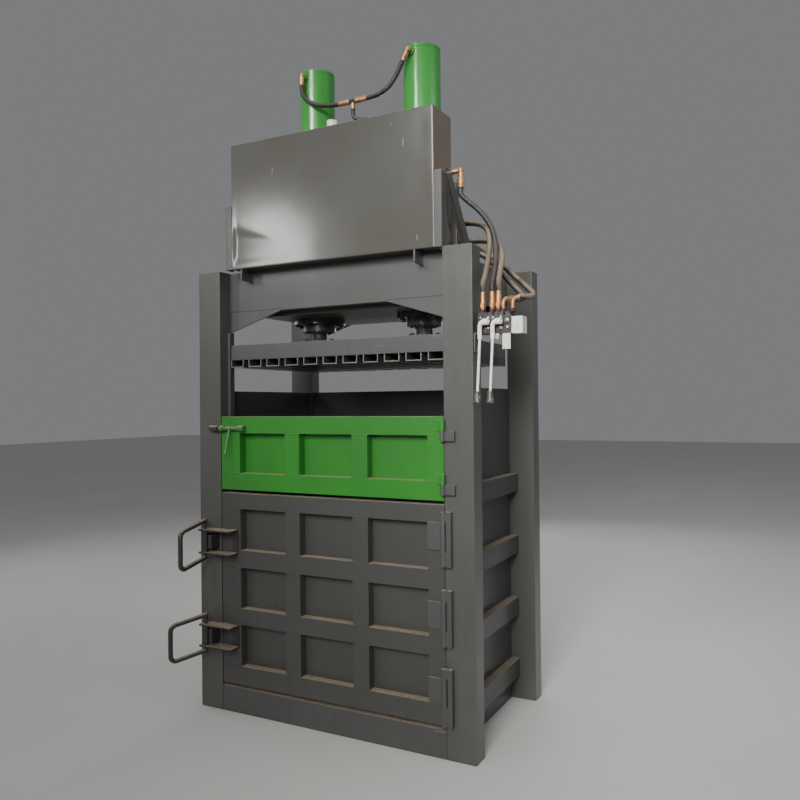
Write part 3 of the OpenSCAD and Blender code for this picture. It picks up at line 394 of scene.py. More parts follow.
@dataclass(frozen=True)
class BareMetal:
    """Machined, plated or cast metal with oil and dust.

    Coated stretches take the coat colour: left, right, low and high edge, in metres.
    """

    name: str
    colour: Colour
    stain: Colour
    rough: float = 0.3
    metal: float = 1.0
    brush: Point = (6, 6, 220)
    dust: float = 0.35
    coat: Colour = (0.045, 0.045, 0.045)
    coated: tuple[Four, ...] = ()
    blot_scale: float = 30
    depth: float = 0.0004

    def material(self) -> Material:
        """Builds the metal with turning lines, stains, dust and its coated stretches."""
        nodes = Shade(self.name)
        up = nodes.facing("Z").ramp(0.3, 0.95)
        lines = nodes.cloud(1.0, 3, nodes.stretched(self.brush))
        blots = nodes.cloud(self.blot_scale, 4)
        base = nodes.blend(self.colour, self.stain, blots.ramp(0.42, 0.72))
        painted = up * 0.0
        for left, right, low, high in self.coated:
            beside = nodes.within(nodes.across(), left, right)
            painted = painted | beside * nodes.within(nodes.height(), low, high)
        base = nodes.blend(base, self.coat, painted)
        dust = (up * blots.ramp(0.3, 0.6) * self.dust).clamped()
        colour = nodes.blend(base, DUST, dust)
        rough = (self.rough + lines * 0.12 + blots * 0.16 + dust * 0.4 + painted * 0.2).clamped()
        bump = nodes.relief(lines * 0.5 + blots * 0.5, self.depth)
        bare = (1.0 - (dust | painted)) * self.metal
        return nodes.surface({"Base Color": colour, "Roughness": rough, "Metallic": bare, "Normal": bump})


@dataclass(frozen=True)
class HoseCover:
    """Black hose rubber with cloth wrap marks and dust along its top."""

    name: str = "hose_cover"
    colour: Colour = (0.016, 0.016, 0.017)
    dust: float = 0.78
    worn: Colour = (0.04, 0.04, 0.04)
    settled: Colour = (0.30, 0.225, 0.150)
    patch_scale: float = 14
    wrap_stretch: Point = (150, 150, 420)
    depth: float = 0.0008

    def material(self) -> Material:
        """Builds the rubber."""
        nodes = Shade(self.name)
        up = nodes.facing("Z").ramp(-0.15, 0.75)
        side = nodes.facing("X").ramp(0.2, 1.0)
        patch = nodes.cloud(self.patch_scale, 4)
        wrap = nodes.cloud(1.0, 2, nodes.stretched(self.wrap_stretch))
        dust = ((up * 0.95 | side * 0.6) * patch.ramp(0.22, 0.5)).clamped()
        rubber = nodes.blend(self.colour, self.worn, patch.ramp(0.4, 0.8))
        colour = nodes.blend(rubber, self.settled, dust * self.dust)
        rough = (0.42 + dust * 0.45 + wrap * 0.1).clamped()
        bump = nodes.relief(wrap, self.depth)
        return nodes.surface({"Base Color": colour, "Roughness": rough, "Normal": bump})


@dataclass(frozen=True)
class WhitePlastic:
    """Moulded white plastic with handling marks."""

    name: str
    colour: Colour = (0.72, 0.70, 0.64)
    grime: float = 0.5
    stain: Colour = (0.30, 0.26, 0.20)
    blot_scale: float = 60
    depth: float = 0.0003

    def material(self) -> Material:
        """Builds the plastic."""
        nodes = Shade(self.name)
        blots = nodes.cloud(self.blot_scale, 5)
        up = nodes.facing("Z").ramp(0.4, 0.95)
        marks = (blots.ramp(0.5, 0.7) * self.grime).clamped()
        colour = nodes.blend(self.colour, self.stain, marks)
        colour = nodes.blend(colour, DUST, up * 0.6)
        rough = (0.35 + marks * 0.3 + up * 0.3).clamped()
        bump = nodes.relief(blots, self.depth)
        return nodes.surface({"Base Color": colour, "Roughness": rough, "Normal": bump})


@dataclass(frozen=True)
class LeverFinish:
    """White enamelled rod with a black moulded grip at its foot."""

    name: str = "lever_finish"
    colour: Colour = (0.86, 0.84, 0.79)
    stain: Colour = (0.40, 0.36, 0.29)
    grip: Colour = (0.020, 0.019, 0.020)
    grip_top: float = 1.722
    grip_blur: float = 0.001
    blot_scale: float = 70
    depth: float = 0.0004

    def material(self) -> Material:
        """Builds the enamel and the grip in one material, split by height."""
        nodes = Shade(self.name)
        blots = nodes.cloud(self.blot_scale, 4)
        low, high = self.grip_top - self.grip_blur, self.grip_top + self.grip_blur
        grip = 1.0 - nodes.height().ramp(low, high)
        enamel = nodes.blend(self.colour, self.stain, blots.ramp(0.5, 0.72) * 0.6)
        colour = nodes.blend(enamel, self.grip, grip)
        rough = (0.28 + blots * 0.2 + grip * 0.2).clamped()
        bump = nodes.relief(blots, self.depth)
        return nodes.surface({"Base Color": colour, "Roughness": rough, "Normal": bump})


@dataclass(frozen=True)
class StudioFloor:
    """Plain pale floor."""

    name: str = "studio_floor"
    colour: Colour = (0.63, 0.62, 0.60)
    shade: Colour = (0.61, 0.60, 0.58)
    patch_scale: float = 0.8
    rough: float = 0.7

    def material(self) -> Material:
        """Builds a matt floor with a faint tone change."""
        nodes = Shade(self.name)
        tone = nodes.blend(self.colour, self.shade, nodes.cloud(self.patch_scale, 3).ramp(0.35, 0.65))
        return nodes.surface({"Base Color": tone, "Roughness": self.rough})


class Look(Enum):
    """Every finish on the machine."""

    CHARCOAL = SprayedSteel("charcoal_finish", (0.066, 0.067, 0.067), (0.054, 0.055, 0.055), chips=0.3)
    # The frame's charcoal paint made lighter and greener, as the lit right column looks: painted light.
    COLUMN = SprayedSteel("column_painted_light", (0.078, 0.080, 0.074), (0.066, 0.067, 0.062), gloss=0.26,
                          film=0.15, chips=0.25)
    # The frame's charcoal paint made darker for the side and rear walls and ribs: painted shade.
    WALL = SprayedSteel("wall_painted_shade", (0.040, 0.040, 0.044), (0.032, 0.032, 0.036), film=0.2, chips=0.3,
                        ledge_dust=0.7)
    DOOR = SprayedSteel("door_finish", (0.054, 0.055, 0.052), (0.045, 0.046, 0.044), gloss=0.36,
                        chips=0.25)
    # A dark brown-grey for the latches, keepers and brackets, darker than the frame's paint: painted shade
    # for the light they lack from the left.
    LATCH = SprayedSteel("latch_painted_shade", (0.034, 0.031, 0.030), (0.026, 0.024, 0.023), gloss=0.4,
                         film=0.2, chips=0.3)
    WELD = SprayedSteel("weld_finish", (0.054, 0.054, 0.053), (0.044, 0.044, 0.043), ledge_dust=0.2,
                        film=0.1)
    GREEN = SprayedSteel("green_finish", (0.025, 0.190, 0.021), (0.019, 0.153, 0.018), gloss=0.28,
                         film=0.12, streaks=0.15, chips=0.35, bare=(0.10, 0.14, 0.08))
    GREEN_WORN = SprayedSteel("worn_green_finish", (0.034, 0.150, 0.030), (0.045, 0.110, 0.035),
                              gloss=0.42, film=0.9, streaks=0.5, chips=1.0, bare=(0.16, 0.15, 0.11))
    GREEN_WELD = SprayedSteel("green_weld_finish", (0.026, 0.190, 0.024), (0.022, 0.165, 0.022),
                              ledge_dust=0.2, film=0.1, chips=0.1)
    CYLINDER = SprayedSteel("cylinder_finish", (0.048, 0.300, 0.052), (0.040, 0.262, 0.044), gloss=0.13,
                            film=0.08, streaks=0.1, chips=0.2, bare=(0.10, 0.14, 0.08),
                            primer=(0.040, 0.041, 0.041))
    # The warm brown on the tank's ends that face +X is a painted reflection of a warm wall.
    TANK = SprayedSteel("tank_finish", (0.080, 0.080, 0.073), (0.070, 0.066, 0.058), gloss=0.08,
                        film=0.12, wave=0.0003, tooth=0.00006, streaks=0.12, chips=0.12,
                        bare=(0.36, 0.36, 0.34), end_reflection=(0.19, 0.135, 0.10),
                        scratches=((-0.310, 2.911, 0.022), (0.409, 3.032, 0.008),
                                   (0.473, 2.934, 0.028), (0.544, 2.467, 0.018)))
    PLATEN = SprayedSteel("platen_finish", (0.068, 0.064, 0.069), (0.054, 0.051, 0.056), gloss=0.36,
                          film=0.35, ledge_dust=0.6)
    CHANNEL = SprayedSteel("strap_channel_finish", (0.050, 0.049, 0.052), (0.040, 0.039, 0.042),
                           gloss=0.4, film=0.3, chips=0.6, cut_ends=(0.135, 0.122, 0.108))
    MOTOR = SprayedSteel("motor_finish", (0.050, 0.090, 0.150), (0.040, 0.075, 0.130), gloss=0.35)
    # The rods are dark grey from 1.80 m up to just under the glands.
    CHROME = BareMetal("chrome_finish", (0.46, 0.46, 0.47), (0.26, 0.25, 0.24), rough=0.16, dust=0.5,
                       coated=((-1.0, 1.0, 1.80, 2.089),))
    CAST = BareMetal("cast_finish", (0.060, 0.060, 0.062), (0.024, 0.022, 0.020), rough=0.4, metal=0.5)
    ZINC = BareMetal("zinc_finish", (0.58, 0.35, 0.18), (0.36, 0.19, 0.10), rough=0.38, dust=0.4,
                     coat=(0.022, 0.021, 0.021),
                     coated=((-0.041, -0.003, 3.3365, 3.364), (0.630, 0.6795, 2.760, 2.820)))
    VALVE_ZINC = BareMetal("valve_zinc_finish", (0.54, 0.32, 0.17), (0.34, 0.18, 0.10), rough=0.38,
                           dust=0.4, coat=(0.050, 0.014, 0.012), coated=((0.0, 2.0, 2.0, 2.1035),))
    SPOOL = BareMetal("spool_finish", (0.56, 0.55, 0.52), (0.24, 0.20, 0.16), dust=0.3)
    HOSE = HoseCover()
    TOP_HOSE = HoseCover("top_hose_cover", (0.012, 0.012, 0.013), dust=0.22)
    WHITE = WhitePlastic("white_cap")
    LEVER = LeverFinish()
    GRIP = WhitePlastic("grip_finish", (0.062, 0.050, 0.042), grime=0.8)
    FLOOR = StudioFloor()

    def made(self) -> Material:
        """Gives the finish's material, built once."""
        return bpy.data.materials.get(self.value.name) or self.value.material()


NODE_LOOKS: dict[Look, tuple[str, ...]] = {
    Look.COLUMN: ("front_column_left", "front_column_right", "rear_column_left", "rear_column_right"),
    Look.CHARCOAL: ("base_front_beam", "base_rear_beam", "base_bearers", "door_stops", "front_top_beam",
                    "rear_top_beam", "cross_beams", "tank_posts", "tank_braces", "drive_base",
                    "valve_bracket", "hinge_knuckles", "lower_hinge_leaves", "cylinder_mount_plate",
                    "glands"),
    Look.LATCH: ("upper_latch", "lower_latch", "latch_keepers", "bolt_keeper", "latch_brackets"),
    Look.WALL: ("side_wall_left", "side_wall_right", "side_ribs_left", "side_ribs_right", "rear_wall",
                "rear_ribs"),
    Look.DOOR: ("lower_door_skin", "lower_door_rails", "lower_door_stiles"),
    Look.GREEN: ("upper_door_skin", "upper_door_lattice", "upper_hinge_leaves"),
    Look.GREEN_WORN: ("bolt_sleeves", "slide_bolt"),
    Look.CYLINDER: ("cylinder_left", "cylinder_right"),
    Look.PLATEN: ("chamber_floor", "platen_frame"),
    Look.CHANNEL: ("floor_channels", "platen_channels"),
    Look.MOTOR: ("motor",),
    Look.CHROME: ("piston_rods",),
    Look.CAST: ("pump", "valve_block"),
    Look.ZINC: ("hose_fittings",),
    Look.VALVE_ZINC: ("valve_fittings",),
    Look.WHITE: ("filler_breather", "valve_end_cap"),
    Look.LEVER: ("valve_lever_1", "valve_lever_2"),
}


class Maker:
    """Turns built meshes into pieces of the machine."""

    @staticmethod
    def piece(name: str, mesh: Mesh, look: Look, body: Body, slot: str,
              smooth: bool) -> bpy.types.Object:
        """Closes a mesh and sets it on its body.

        Args:
            name: the piece's name.
            mesh: the mesh, which is freed.
            look: its finish.
            body: the body that it rides on.
            slot: the name of a material slot, which is not used.
            smooth: whether its faces shade smoothly.

        Returns:
            The piece.
        """
        bmesh.ops.recalc_face_normals(mesh, faces=mesh.faces)
        data = bpy.data.meshes.new(name)
        mesh.to_mesh(data)
        mesh.free()
        for polygon in data.polygons:
            polygon.use_smooth = smooth
        made = bpy.data.objects.new(name, data)
        bpy.context.scene.collection.objects.link(made)
        made.data.materials.append(look.made())
        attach(made, body.value)
        return made

    @staticmethod
    def bevel(item: bpy.types.Object, name: str, width: float, segments: int, angle: float) -> None:
        """Rounds an object's sharp edges and weights its normals.

        Args:
            item: the object.
            name: the modifier's name.
            width: the size of the rounding, in metres.
            segments: the steps across it.
            angle: the sharpest corner that stays plain, in degrees.
        """
        edge = item.modifiers.new(name, "BEVEL")
        edge.width = width
        edge.segments = segments
        edge.limit_method = "ANGLE"
        edge.angle_limit = math.radians(angle)
        item.modifiers.new("shading", "WEIGHTED_NORMAL")

    @staticmethod
    def soften(item: bpy.types.Object, width: float) -> None:
        """Breaks sharp edges as rolled and welded steel has them.

        Args:
            item: the object.
            width: the size of the edge, in metres.
        """
        weld = item.modifiers.new("joined", "WELD")
        weld.merge_threshold = TOUCHING
        Maker.bevel(item, "edges", width, segments=2, angle=32)
        for polygon in item.data.polygons:
            polygon.use_smooth = True

    @staticmethod
    def loft(mesh: Mesh, rings: Sequence[Sequence[Vertex]]) -> None:
        """Joins rings of corners one to the next and closes both ends.

        Args:
            mesh: the mesh that they are in.
            rings: the rings in order, with as many corners each.
        """
        for low, high in zip(rings, rings[1:]):
            for k in range(len(low)):
                after = (k + 1) % len(low)
                mesh.faces.new((low[k], low[after], high[after], high[k]))
        mesh.faces.new(list(reversed(rings[0])))
        mesh.faces.new(rings[-1])

    @staticmethod
    def tube(mesh: Mesh, line: Sequence[Vector], radius: Callable[[int], float],
             sides: int) -> None:
        """Adds a closed round tube along a line.

        Args:
            mesh: the mesh to add to.
            line: the points along its middle, in metres.
            radius: gives the radius at each point, in metres.
            sides: the sides of its section.
        """
        rings: list[list[Vertex]] = []
        across = Vector((0, 0, 1))
        for i, middle in enumerate(line):
            along = (line[min(i + 1, len(line) - 1)] - line[max(i - 1, 0)]).normalized()
            if i == 0:
                across = along.orthogonal().normalized()
            across = (across - along * across.dot(along)).normalized()
            over = along.cross(across)
            ring = []
            for k in range(sides):
                turn = math.tau * k / sides
                out = math.cos(turn) * across + math.sin(turn) * over
                ring.append(mesh.verts.new(middle + radius(i) * out))
            rings.append(ring)
        Maker.loft(mesh, rings)


@dataclass
class CadFinish:
    """Dresses the CAD nodes that keep their own shape."""

    edge: float = 0.0022
    fine_edge: float = 0.0007
    fine: tuple[str, ...] = (
        "valve_fittings", "hose_fittings", "valve_lever_1", "valve_lever_2", "filler_breather", "glands",
        "piston_rods", "cylinder_left", "cylinder_right", "pump", "motor", "hinge_knuckles",
        "upper_hinge_leaves", "lower_hinge_leaves", "slide_bolt", "bolt_sleeves", "valve_block",
        "platen_channels", "floor_channels", "bolt_keeper")

    def dress(self) -> None:
        """Gives each node its finish and softened edges."""
        for look, names in NODE_LOOKS.items():
            for name in names:
                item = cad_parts[name]
                item.data.materials.clear()
                item.data.materials.append(look.made())
                Maker.soften(item, self.fine_edge if name in self.fine else self.edge)
        LOG.info("dressed %d CAD nodes", sum(len(names) for names in NODE_LOOKS.values()))


@dataclass
class SheetTank:
    """The folded sheet oil tank, with its dents: middle, reach and depth of each."""

    left: float = 237
    right: float = 1459
    depth: float = 209
    low: float = 2410
    high: float = 3089
    fold: float = 4
    columns: int = 116
    rows: int = 66
    layers: int = 12
    margins: Four = (34, 60, 60, 60)
    dents: tuple[Four, ...] = (
        (530, 2640, 330, 1.2), (1390, 2706, 75, 0.7), (1400, 2969, 60, 0.45), (900, 2520, 160, 0.8))
    dent_spread: float = 0.6
    bow: float = 1.2
    ripple: float = 0.35
    ripple_size: Pair = (260, 300)
    ripple_layer: float = 3.7
    crease_top: float = 2628
    crease_drop: float = 85
    crease_run: float = 310
    crease_depth: float = 7.0
    crease_width: float = 38
    crease_end: float = 5
    crease_foot: float = 150

    def crease(self, x: float, z: float) -> float:
        """Gives the depth of the buckle that runs in from the left fold.

        Args:
            x: place across the front, in millimetres.
            z: height, in millimetres.

        Returns:
            The depth, in millimetres.
        """
        run = (x - self.left) / self.crease_run
        line = self.crease_top - self.crease_drop * run
        fade = max(0.0, 1.0 - run)
        spread = self.crease_width * fade + self.crease_end
        low = min(1.0, max(0.0, (z - self.low) / self.crease_foot))
        return fade * low * self.crease_depth * 0.5 * (1 + math.tanh((line - z) / spread))

    def sink(self, x: float, z: float) -> float:
        """Gives how deep the front sheet is pushed in.

        Args:
            x: place across the front, in millimetres.
            z: height, in millimetres.

        Returns:
            The depth, in millimetres.
        """
        gaps = (x - self.left, self.right - x, z - self.low, self.high - z)
        edge = min(gap / margin for gap, margin in zip(gaps, self.margins))
        hold = max(0.0, min(1.0, edge))
        deep = 0.0
        for middle_x, middle_z, reach, depth in self.dents:
            away = (x - middle_x) ** 2 + (z - middle_z) ** 2
            deep += depth * math.exp(-away / (2 * (reach * self.dent_spread) ** 2))
        spot = Vector((x / self.ripple_size[0], z / self.ripple_size[1], self.ripple_layer))
        ripple = self.ripple + self.ripple * noise.noise(spot)
        return hold * hold * (3 - 2 * hold) * (deep + ripple + self.crease(x, z))

    def build(self) -> None:
        """Makes the tank with a finely divided front and rounded folds."""
        mesh = bmesh.new()
        across, up, back = self.columns, self.rows, self.layers
        steps_x = [self.left + (self.right - self.left) * i / across for i in range(across + 1)]
        steps_z = [self.low + (self.high - self.low) * i / up for i in range(up + 1)]
        steps_y = [self.depth * i / back for i in range(back + 1)]
        made: dict[tuple[int, int, int], Vertex] = {}

        def corner(i: int, j: int, k: int) -> Vertex:
            """Gives the corner at a grid step, sunk into the sheet."""
            if (i, j, k) not in made:
                x, y, z = steps_x[i], steps_y[j], steps_z[k]
                if j == 0:
                    y += self.sink(x, z)
                if i in (0, across):
                    push = self.bow * math.sin(math.pi * j / back) * math.sin(math.pi * k / up)
                    x += push if i == 0 else -push
                made[(i, j, k)] = mesh.verts.new(place(x, y, z))
            return made[(i, j, k)]

        def panel(*steps: tuple[int, int, int]) -> None:
            """Adds the face on four grid steps."""
            mesh.faces.new([corner(*step) for step in steps])

        for i in range(across):
            for k in range(up):
                for j in (0, back):
                    panel((i, j, k), (i + 1, j, k), (i + 1, j, k + 1), (i, j, k + 1))
            for j in range(back):
                for k in (0, up):
                    panel((i, j, k), (i + 1, j, k), (i + 1, j + 1, k), (i, j + 1, k))
        for j in range(back):
            for k in range(up):
                for i in (0, across):
                    panel((i, j, k), (i, j + 1, k), (i, j + 1, k + 1), (i, j, k + 1))
        tank = Maker.piece("sheet_tank", mesh, Look.TANK, Body.FRAME, "tank_paint", True)
        Maker.bevel(tank, "folds", self.fold / METRE, segments=3, angle=50)
        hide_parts("oil_tank")
        LOG.info("sheet tank built")


@dataclass
class HingeBars:
    """The upright bars that carry the lower door's fixed knuckles."""

    left: float = 1516
    right: float = 1541
    front: float = -27
    heights: tuple[Pair, ...] = ((906, 1163), (532, 798), (159, 431))
    corner: float = 3
    edge: float = 0.0008

    def build(self) -> None:
        """Makes each bar with its front corners broken."""
        mesh = bmesh.new()
        cut = self.corner
        outline = [(self.left, 0), (self.left, self.front + cut), (self.left + cut, self.front),
                   (self.right - cut, self.front), (self.right, self.front + cut), (self.right, 0)]
        for heights in self.heights:
            Maker.loft(mesh, [[mesh.verts.new(place(x, y, z)) for x, y in outline] for z in heights])
        bars = Maker.piece("hinge_bars", mesh, Look.CHARCOAL, Body.FRAME, "frame_paint", True)
        Maker.soften(bars, self.edge)
        LOG.info("%d hinge bars built", len(self.heights))


@dataclass
class LeverGrips:
    """The flared moulded grips at the feet of the valve levers."""

    across: Pair = (1676, 1738)
    y: float = -14
    sides: int = 28
    profile: tuple[Pair, ...] = (
        (1725, 6.5), (1724, 9.5), (1721, 12.4), (1716, 13.2), (1706, 14.0), (1694, 15.6), (1684, 17.6),
        (1677, 18.8), (1672.5, 18.6), (1669.5, 17.0), (1668.6, 13.0))

    def build(self) -> None:
        """Makes a turned grip on each lever, from heights and radii."""
        turns = [math.tau * k / self.sides for k in range(self.sides)]
        for x, body in zip(self.across, (Body.LEVER_1, Body.LEVER_2)):
            mesh = bmesh.new()
            rings = []
            for z, radius in self.profile:
                spots = [(x + radius * math.cos(turn), self.y + radius * math.sin(turn)) for turn in turns]
                rings.append([mesh.verts.new(place(*spot, z)) for spot in spots])
            Maker.loft(mesh, rings)
            Maker.piece(f"{body.value}_grip", mesh, Look.GRIP, body, "lever_paint", True)
        LOG.info("%d lever grips built", len(self.across))


@dataclass
class SpoolCaps:
    """The turned caps and plugs on the valve block's front: place, height, radius and length of each."""

    face: float = 14
    sides: int = 20
    caps: tuple[Four, ...] = (
        (1684, 2062, 5, 6), (1721, 2061, 5.5, 7), (1721, 2012, 8, 9), (1746, 2060, 5, 6),
        (1783, 2061, 5.5, 7), (1783, 2012, 8, 9), (1814, 2044, 10.5, 12), (1814, 2014, 5.5, 7))
    profile: tuple[Pair, ...] = (
        (0, 1), (0.55, 1), (0.62, 0.93), (0.66, 0.62), (0.94, 0.62), (1, 0.5))

    def build(self) -> None:
        """Makes every cap as one turned form, from shares of its length and radius."""
        mesh = bmesh.new()
        for x, z, wide, length in self.caps:
            line = [place(x, self.face - length * share, z) for share, _ in self.profile]
            Maker.tube(mesh, line, lambda i, r=wide: r * self.profile[i][1] / METRE, self.sides)
        Maker.piece("valve_spool_caps", mesh, Look.SPOOL, Body.FRAME, "zinc_fittings", False)
        LOG.info("%d spool caps built", len(self.caps))


@dataclass
class CrimpSleeves:
    """The long pressed sleeves on the hose ends beside the tee."""

    y: float = 359.5
    z: float = 3350
    radius: float = 15.6
    sides: int = 24
    runs: tuple[Pair, ...] = ((754, 712), (852, 894))
    profile: tuple[Pair, ...] = (
        (0, 0.9), (0.05, 1), (0.3, 1), (0.35, 0.94), (0.4, 1), (0.62, 1), (0.67, 0.94), (0.72, 1),
        (0.93, 1), (1, 0.87))

    def build(self) -> None:
        """Makes a turned sleeve round each straight hose end."""
        mesh = bmesh.new()
        for start, end in self.runs:
            line = [place(start + (end - start) * share, self.y, self.z) for share, _ in self.profile]
            Maker.tube(mesh, line, lambda i: self.radius * self.profile[i][1] / METRE, self.sides)
        Maker.piece("tee_crimp_sleeves", mesh, Look.ZINC, Body.FRAME, "zinc_fittings", False)
        LOG.info("%d crimp sleeves built", len(self.runs))


@dataclass
class WeldRuns:
    """Weld beads along the seams that show.

    A stitch is a short run's length and the gap after it. Stiles and rails are edges of the lattice bars.
    """

    bead: float = 2.4
    thin: float = 0.82
    step: float = 5.0
    sides: int = 6
    seam: float = -0.4
    skin: float = 49
    rib_stitch: Pair = (60, 90)
    post_stitch: Pair = (50, 60)
    panel_stitch: Pair = (70, 60)
    stiles: tuple[Pair, ...] = ((156, 282), (581, 672), (991, 1082), (1411, 1498))
    lower_rails: tuple[Pair, ...] = ((154, 257), (478, 570), (789, 885), (1107, 1193))
    upper_rails: tuple[Pair, ...] = ((1211, 1303), (1519, 1610))
    runs: dict[Body, list[tuple[Point, Point]]] = field(default_factory=dict)

    def add(self, body: Body, start: Point, end: Point) -> None:
        """Notes one straight run.

        Args:
            body: the body that carries it.
            start: its first point, in millimetres.
            end: its last point.
        """
        self.runs.setdefault(body, []).append((start, end))

    def stitches(self, body: Body, start: Point, end: Point, length: float, gap: float) -> None:
        """Notes short runs with gaps between them.

        Args:
            body: the body that carries them.
            start: the first point of the seam.
            end: its last point.
            length: the length of one stitch.
            gap: the space between stitches.
        """
        a, b = Vector(start), Vector(end)
        whole = (b - a).length
        count = max(1, int((whole + gap) // (length + gap)))
        free = (whole - count * length) / (count + 1)
        for i in range(count):
            low = free + i * (length + free)
            self.add(body, tuple(a.lerp(b, low / whole)), tuple(a.lerp(b, (low + length) / whole)))

    def plan_frame(self) -> None:
        """Notes the seams of the columns, beams, ribs and tank posts."""
        for x in (150, 1500):
            self.add(Body.FRAME, (x, 92, 2075), (x, 92, 2410))
            self.add(Body.FRAME, (x, -0.5, 6), (x, -0.5, 136))
        self.add(Body.FRAME, (150, 92, 2193), (504, 92, 2193))
        self.add(Body.FRAME, (1146, 92, 2193), (1500, 92, 2193))
        for top in (230, 577, 924, 1271):
            for low in (top, top - 100):
                for x in (1508, 142):
                    self.stitches(Body.FRAME, (x, 110, low), (x, 870, low), *self.rib_stitch)
        for x in (1461, 235):
            self.stitches(Body.FRAME, (x, 5, 2420), (x, 5, 2750), *self.post_stitch)

    def plan_door(self, body: Body, rails: Sequence[Pair]) -> None:
        """Notes the joints of a door lattice.

        Args:
            body: the door.
            rails: low and high edge of each rail.
        """
        for (_, low), (high, _) in zip(rails, rails[1:]):
            for left, right in self.stiles:
                for z in (low, high):
                    self.add(body, (left + 4, self.seam, z), (right - 4, self.seam, z))
            for (_, left), (right, _) in zip(self.stiles, self.stiles[1:]):
                for z in (low, high):
                    start, end = (left + 20, self.skin, z), (right - 20, self.skin, z)
                    self.stitches(body, start, end, *self.panel_stitch)

    def build(self) -> None:
        """Makes one mesh of beads for each body."""
        self.plan_frame()
        self.plan_door(Body.LOWER_DOOR, self.lower_rails)
        self.plan_door(Body.UPPER_DOOR, self.upper_rails)
        looks = {Body.FRAME: (Look.WELD, "frame_paint"), Body.LOWER_DOOR: (Look.WELD, "door_paint"),
                 Body.UPPER_DOOR: (Look.GREEN_WELD, "green_paint")}
        wide = self.bead / METRE
        for body, lines in self.runs.items():
            look, slot = looks[body]
            mesh = bmesh.new()
            for start, end in lines:
                a, b = place(*start), place(*end)
                count = max(3, int((b - a).length * METRE / self.step))
                line = [a.lerp(b, i / count) for i in range(count + 1)]
                Maker.tube(mesh, line, lambda i: wide * (1.0 if i % 2 else self.thin), self.sides)
            Maker.piece(f"{body.value}_welds", mesh, look, body, slot, True)
        LOG.info("%d weld runs built", sum(len(lines) for lines in self.runs.values()))


@dataclass
class Hoses:
    """The hydraulic hoses, on the same route points as their CAD solids.

    A group's third route is its thinner branch. The clean hoses have little dust.
    """

    width: float = 26
    branch_width: float = 22
    branch: int = 2
    steps: int = 6
    sides: int = 14
    clean: tuple[str, ...] = ("cylinder_hoses", "tank_hose")
    routes: dict[str, list[list[Point]]] = field(default_factory=lambda: {
        "cylinder_hoses": [
            [(461, 359.5, 3506), (461, 359.5, 3476), (472, 359.5, 3440), (508, 359.5, 3404),
             (560, 359.5, 3376), (630, 359.5, 3358), (700, 359.5, 3350), (754, 359.5, 3350)],
            [(852, 359.5, 3350), (900, 359.5, 3350), (960, 359.5, 3356), (1016, 359.5, 3378),
             (1054, 359.5, 3412), (1085, 359.5, 3456), (1115, 359.5, 3508)],
            [(803, 359.5, 3306), (803, 359.5, 3280), (812, 362, 3256), (846, 368, 3243), (900, 376, 3236),
             (950, 382, 3210), (976, 380, 3160), (980, 366, 3070), (964, 344, 2970), (924, 324, 2890),
             (860, 310, 2832), (820, 306, 2788), (820, 306, 2748)]],
        "tank_hose": [
            [(1548, 120, 2708), (1548, 120, 2676), (1580, 132, 2640), (1628, 142, 2596), (1668, 146, 2546),
             (1698, 142, 2490), (1716, 132, 2420), (1724, 112, 2340), (1728, 80, 2270), (1730, 50, 2218),
             (1730, 50, 2186)]],
        "supply_hose": [
            [(940, 300, 2560), (1010, 300, 2560), (1140, 300, 2570), (1300, 310, 2576), (1440, 312, 2580),
             (1540, 290, 2570), (1610, 250, 2540), (1656, 200, 2490), (1680, 150, 2420), (1686, 110, 2340),
             (1686, 76, 2270), (1683, 50, 2220), (1683, 50, 2186)]],
        "return_hose": [
            [(1760, 50, 2186), (1760, 50, 2220), (1758, 78, 2280), (1752, 120, 2340), (1730, 170, 2396),
             (1690, 226, 2440), (1630, 274, 2468), (1540, 306, 2484), (1400, 314, 2490), (1240, 314, 2492),
             (1120, 316, 2500), (1030, 330, 2520), (960, 330, 2520)]],
        "work_hoses": [
            [(1866, 50, 2150), (1888, 50, 2150), (1905, 84, 2154), (1898, 130, 2166), (1874, 190, 2190),
             (1826, 250, 2226), (1764, 300, 2276), (1694, 340, 2336), (1610, 372, 2404), (1520, 412, 2462),
             (1440, 452, 2494), (1380, 487.5, 2504), (1334, 487.5, 2504)],
            [(1820.5, 96.9, 2150), (1840.5, 121.9, 2150), (1840, 164, 2162), (1816, 200, 2188),
             (1772, 220, 2230), (1716, 232, 2290), (1660, 242, 2350), (1600, 246, 2400), (1510, 240, 2426),
             (1380, 236, 2430), (1160, 234, 2436), (900, 234, 2440), (680, 234, 2446), (560, 236, 2462),
             (500, 252, 2488), (483, 296, 2504), (483, 339.5, 2504)]]})

    @staticmethod
    def curve(points: Sequence[Vector], steps: int) -> list[Vector]:
        """Draws a smooth line through route points.

        Args:
            points: the route.
            steps: the parts of each stretch.

        Returns:
            The points of the line.
        """
        ends = [points[0] * 2 - points[1], *points, points[-1] * 2 - points[-2]]
        line: list[Vector] = []
        for a, b, c, d in zip(ends, ends[1:], ends[2:], ends[3:]):
            for i in range(steps):
                t = i / steps
                line.append(0.5 * (2 * b + (c - a) * t + (2 * a - 5 * b + 4 * c - d) * t * t
                                   + (3 * b - a - 3 * c + d) * t ** 3))
        line.append(points[-1])
        return line

    def build(self) -> None:
        """Makes each hose as a smooth round tube."""
        for node, routes in self.routes.items():
            mesh = bmesh.new()
            for index, route in enumerate(routes):
                width = self.branch_width if index == self.branch else self.width
                line = self.curve([place(*point) for point in route], self.steps)
                Maker.tube(mesh, line, lambda i, r=width / 2 / METRE: r, self.sides)
            look = Look.TOP_HOSE if node in self.clean else Look.HOSE
            piece = Maker.piece(f"{node}_cover", mesh, look, Body.FRAME, "hose_rubber", True)
            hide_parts(node)
        LOG.info("%d hose groups built", len(self.routes))


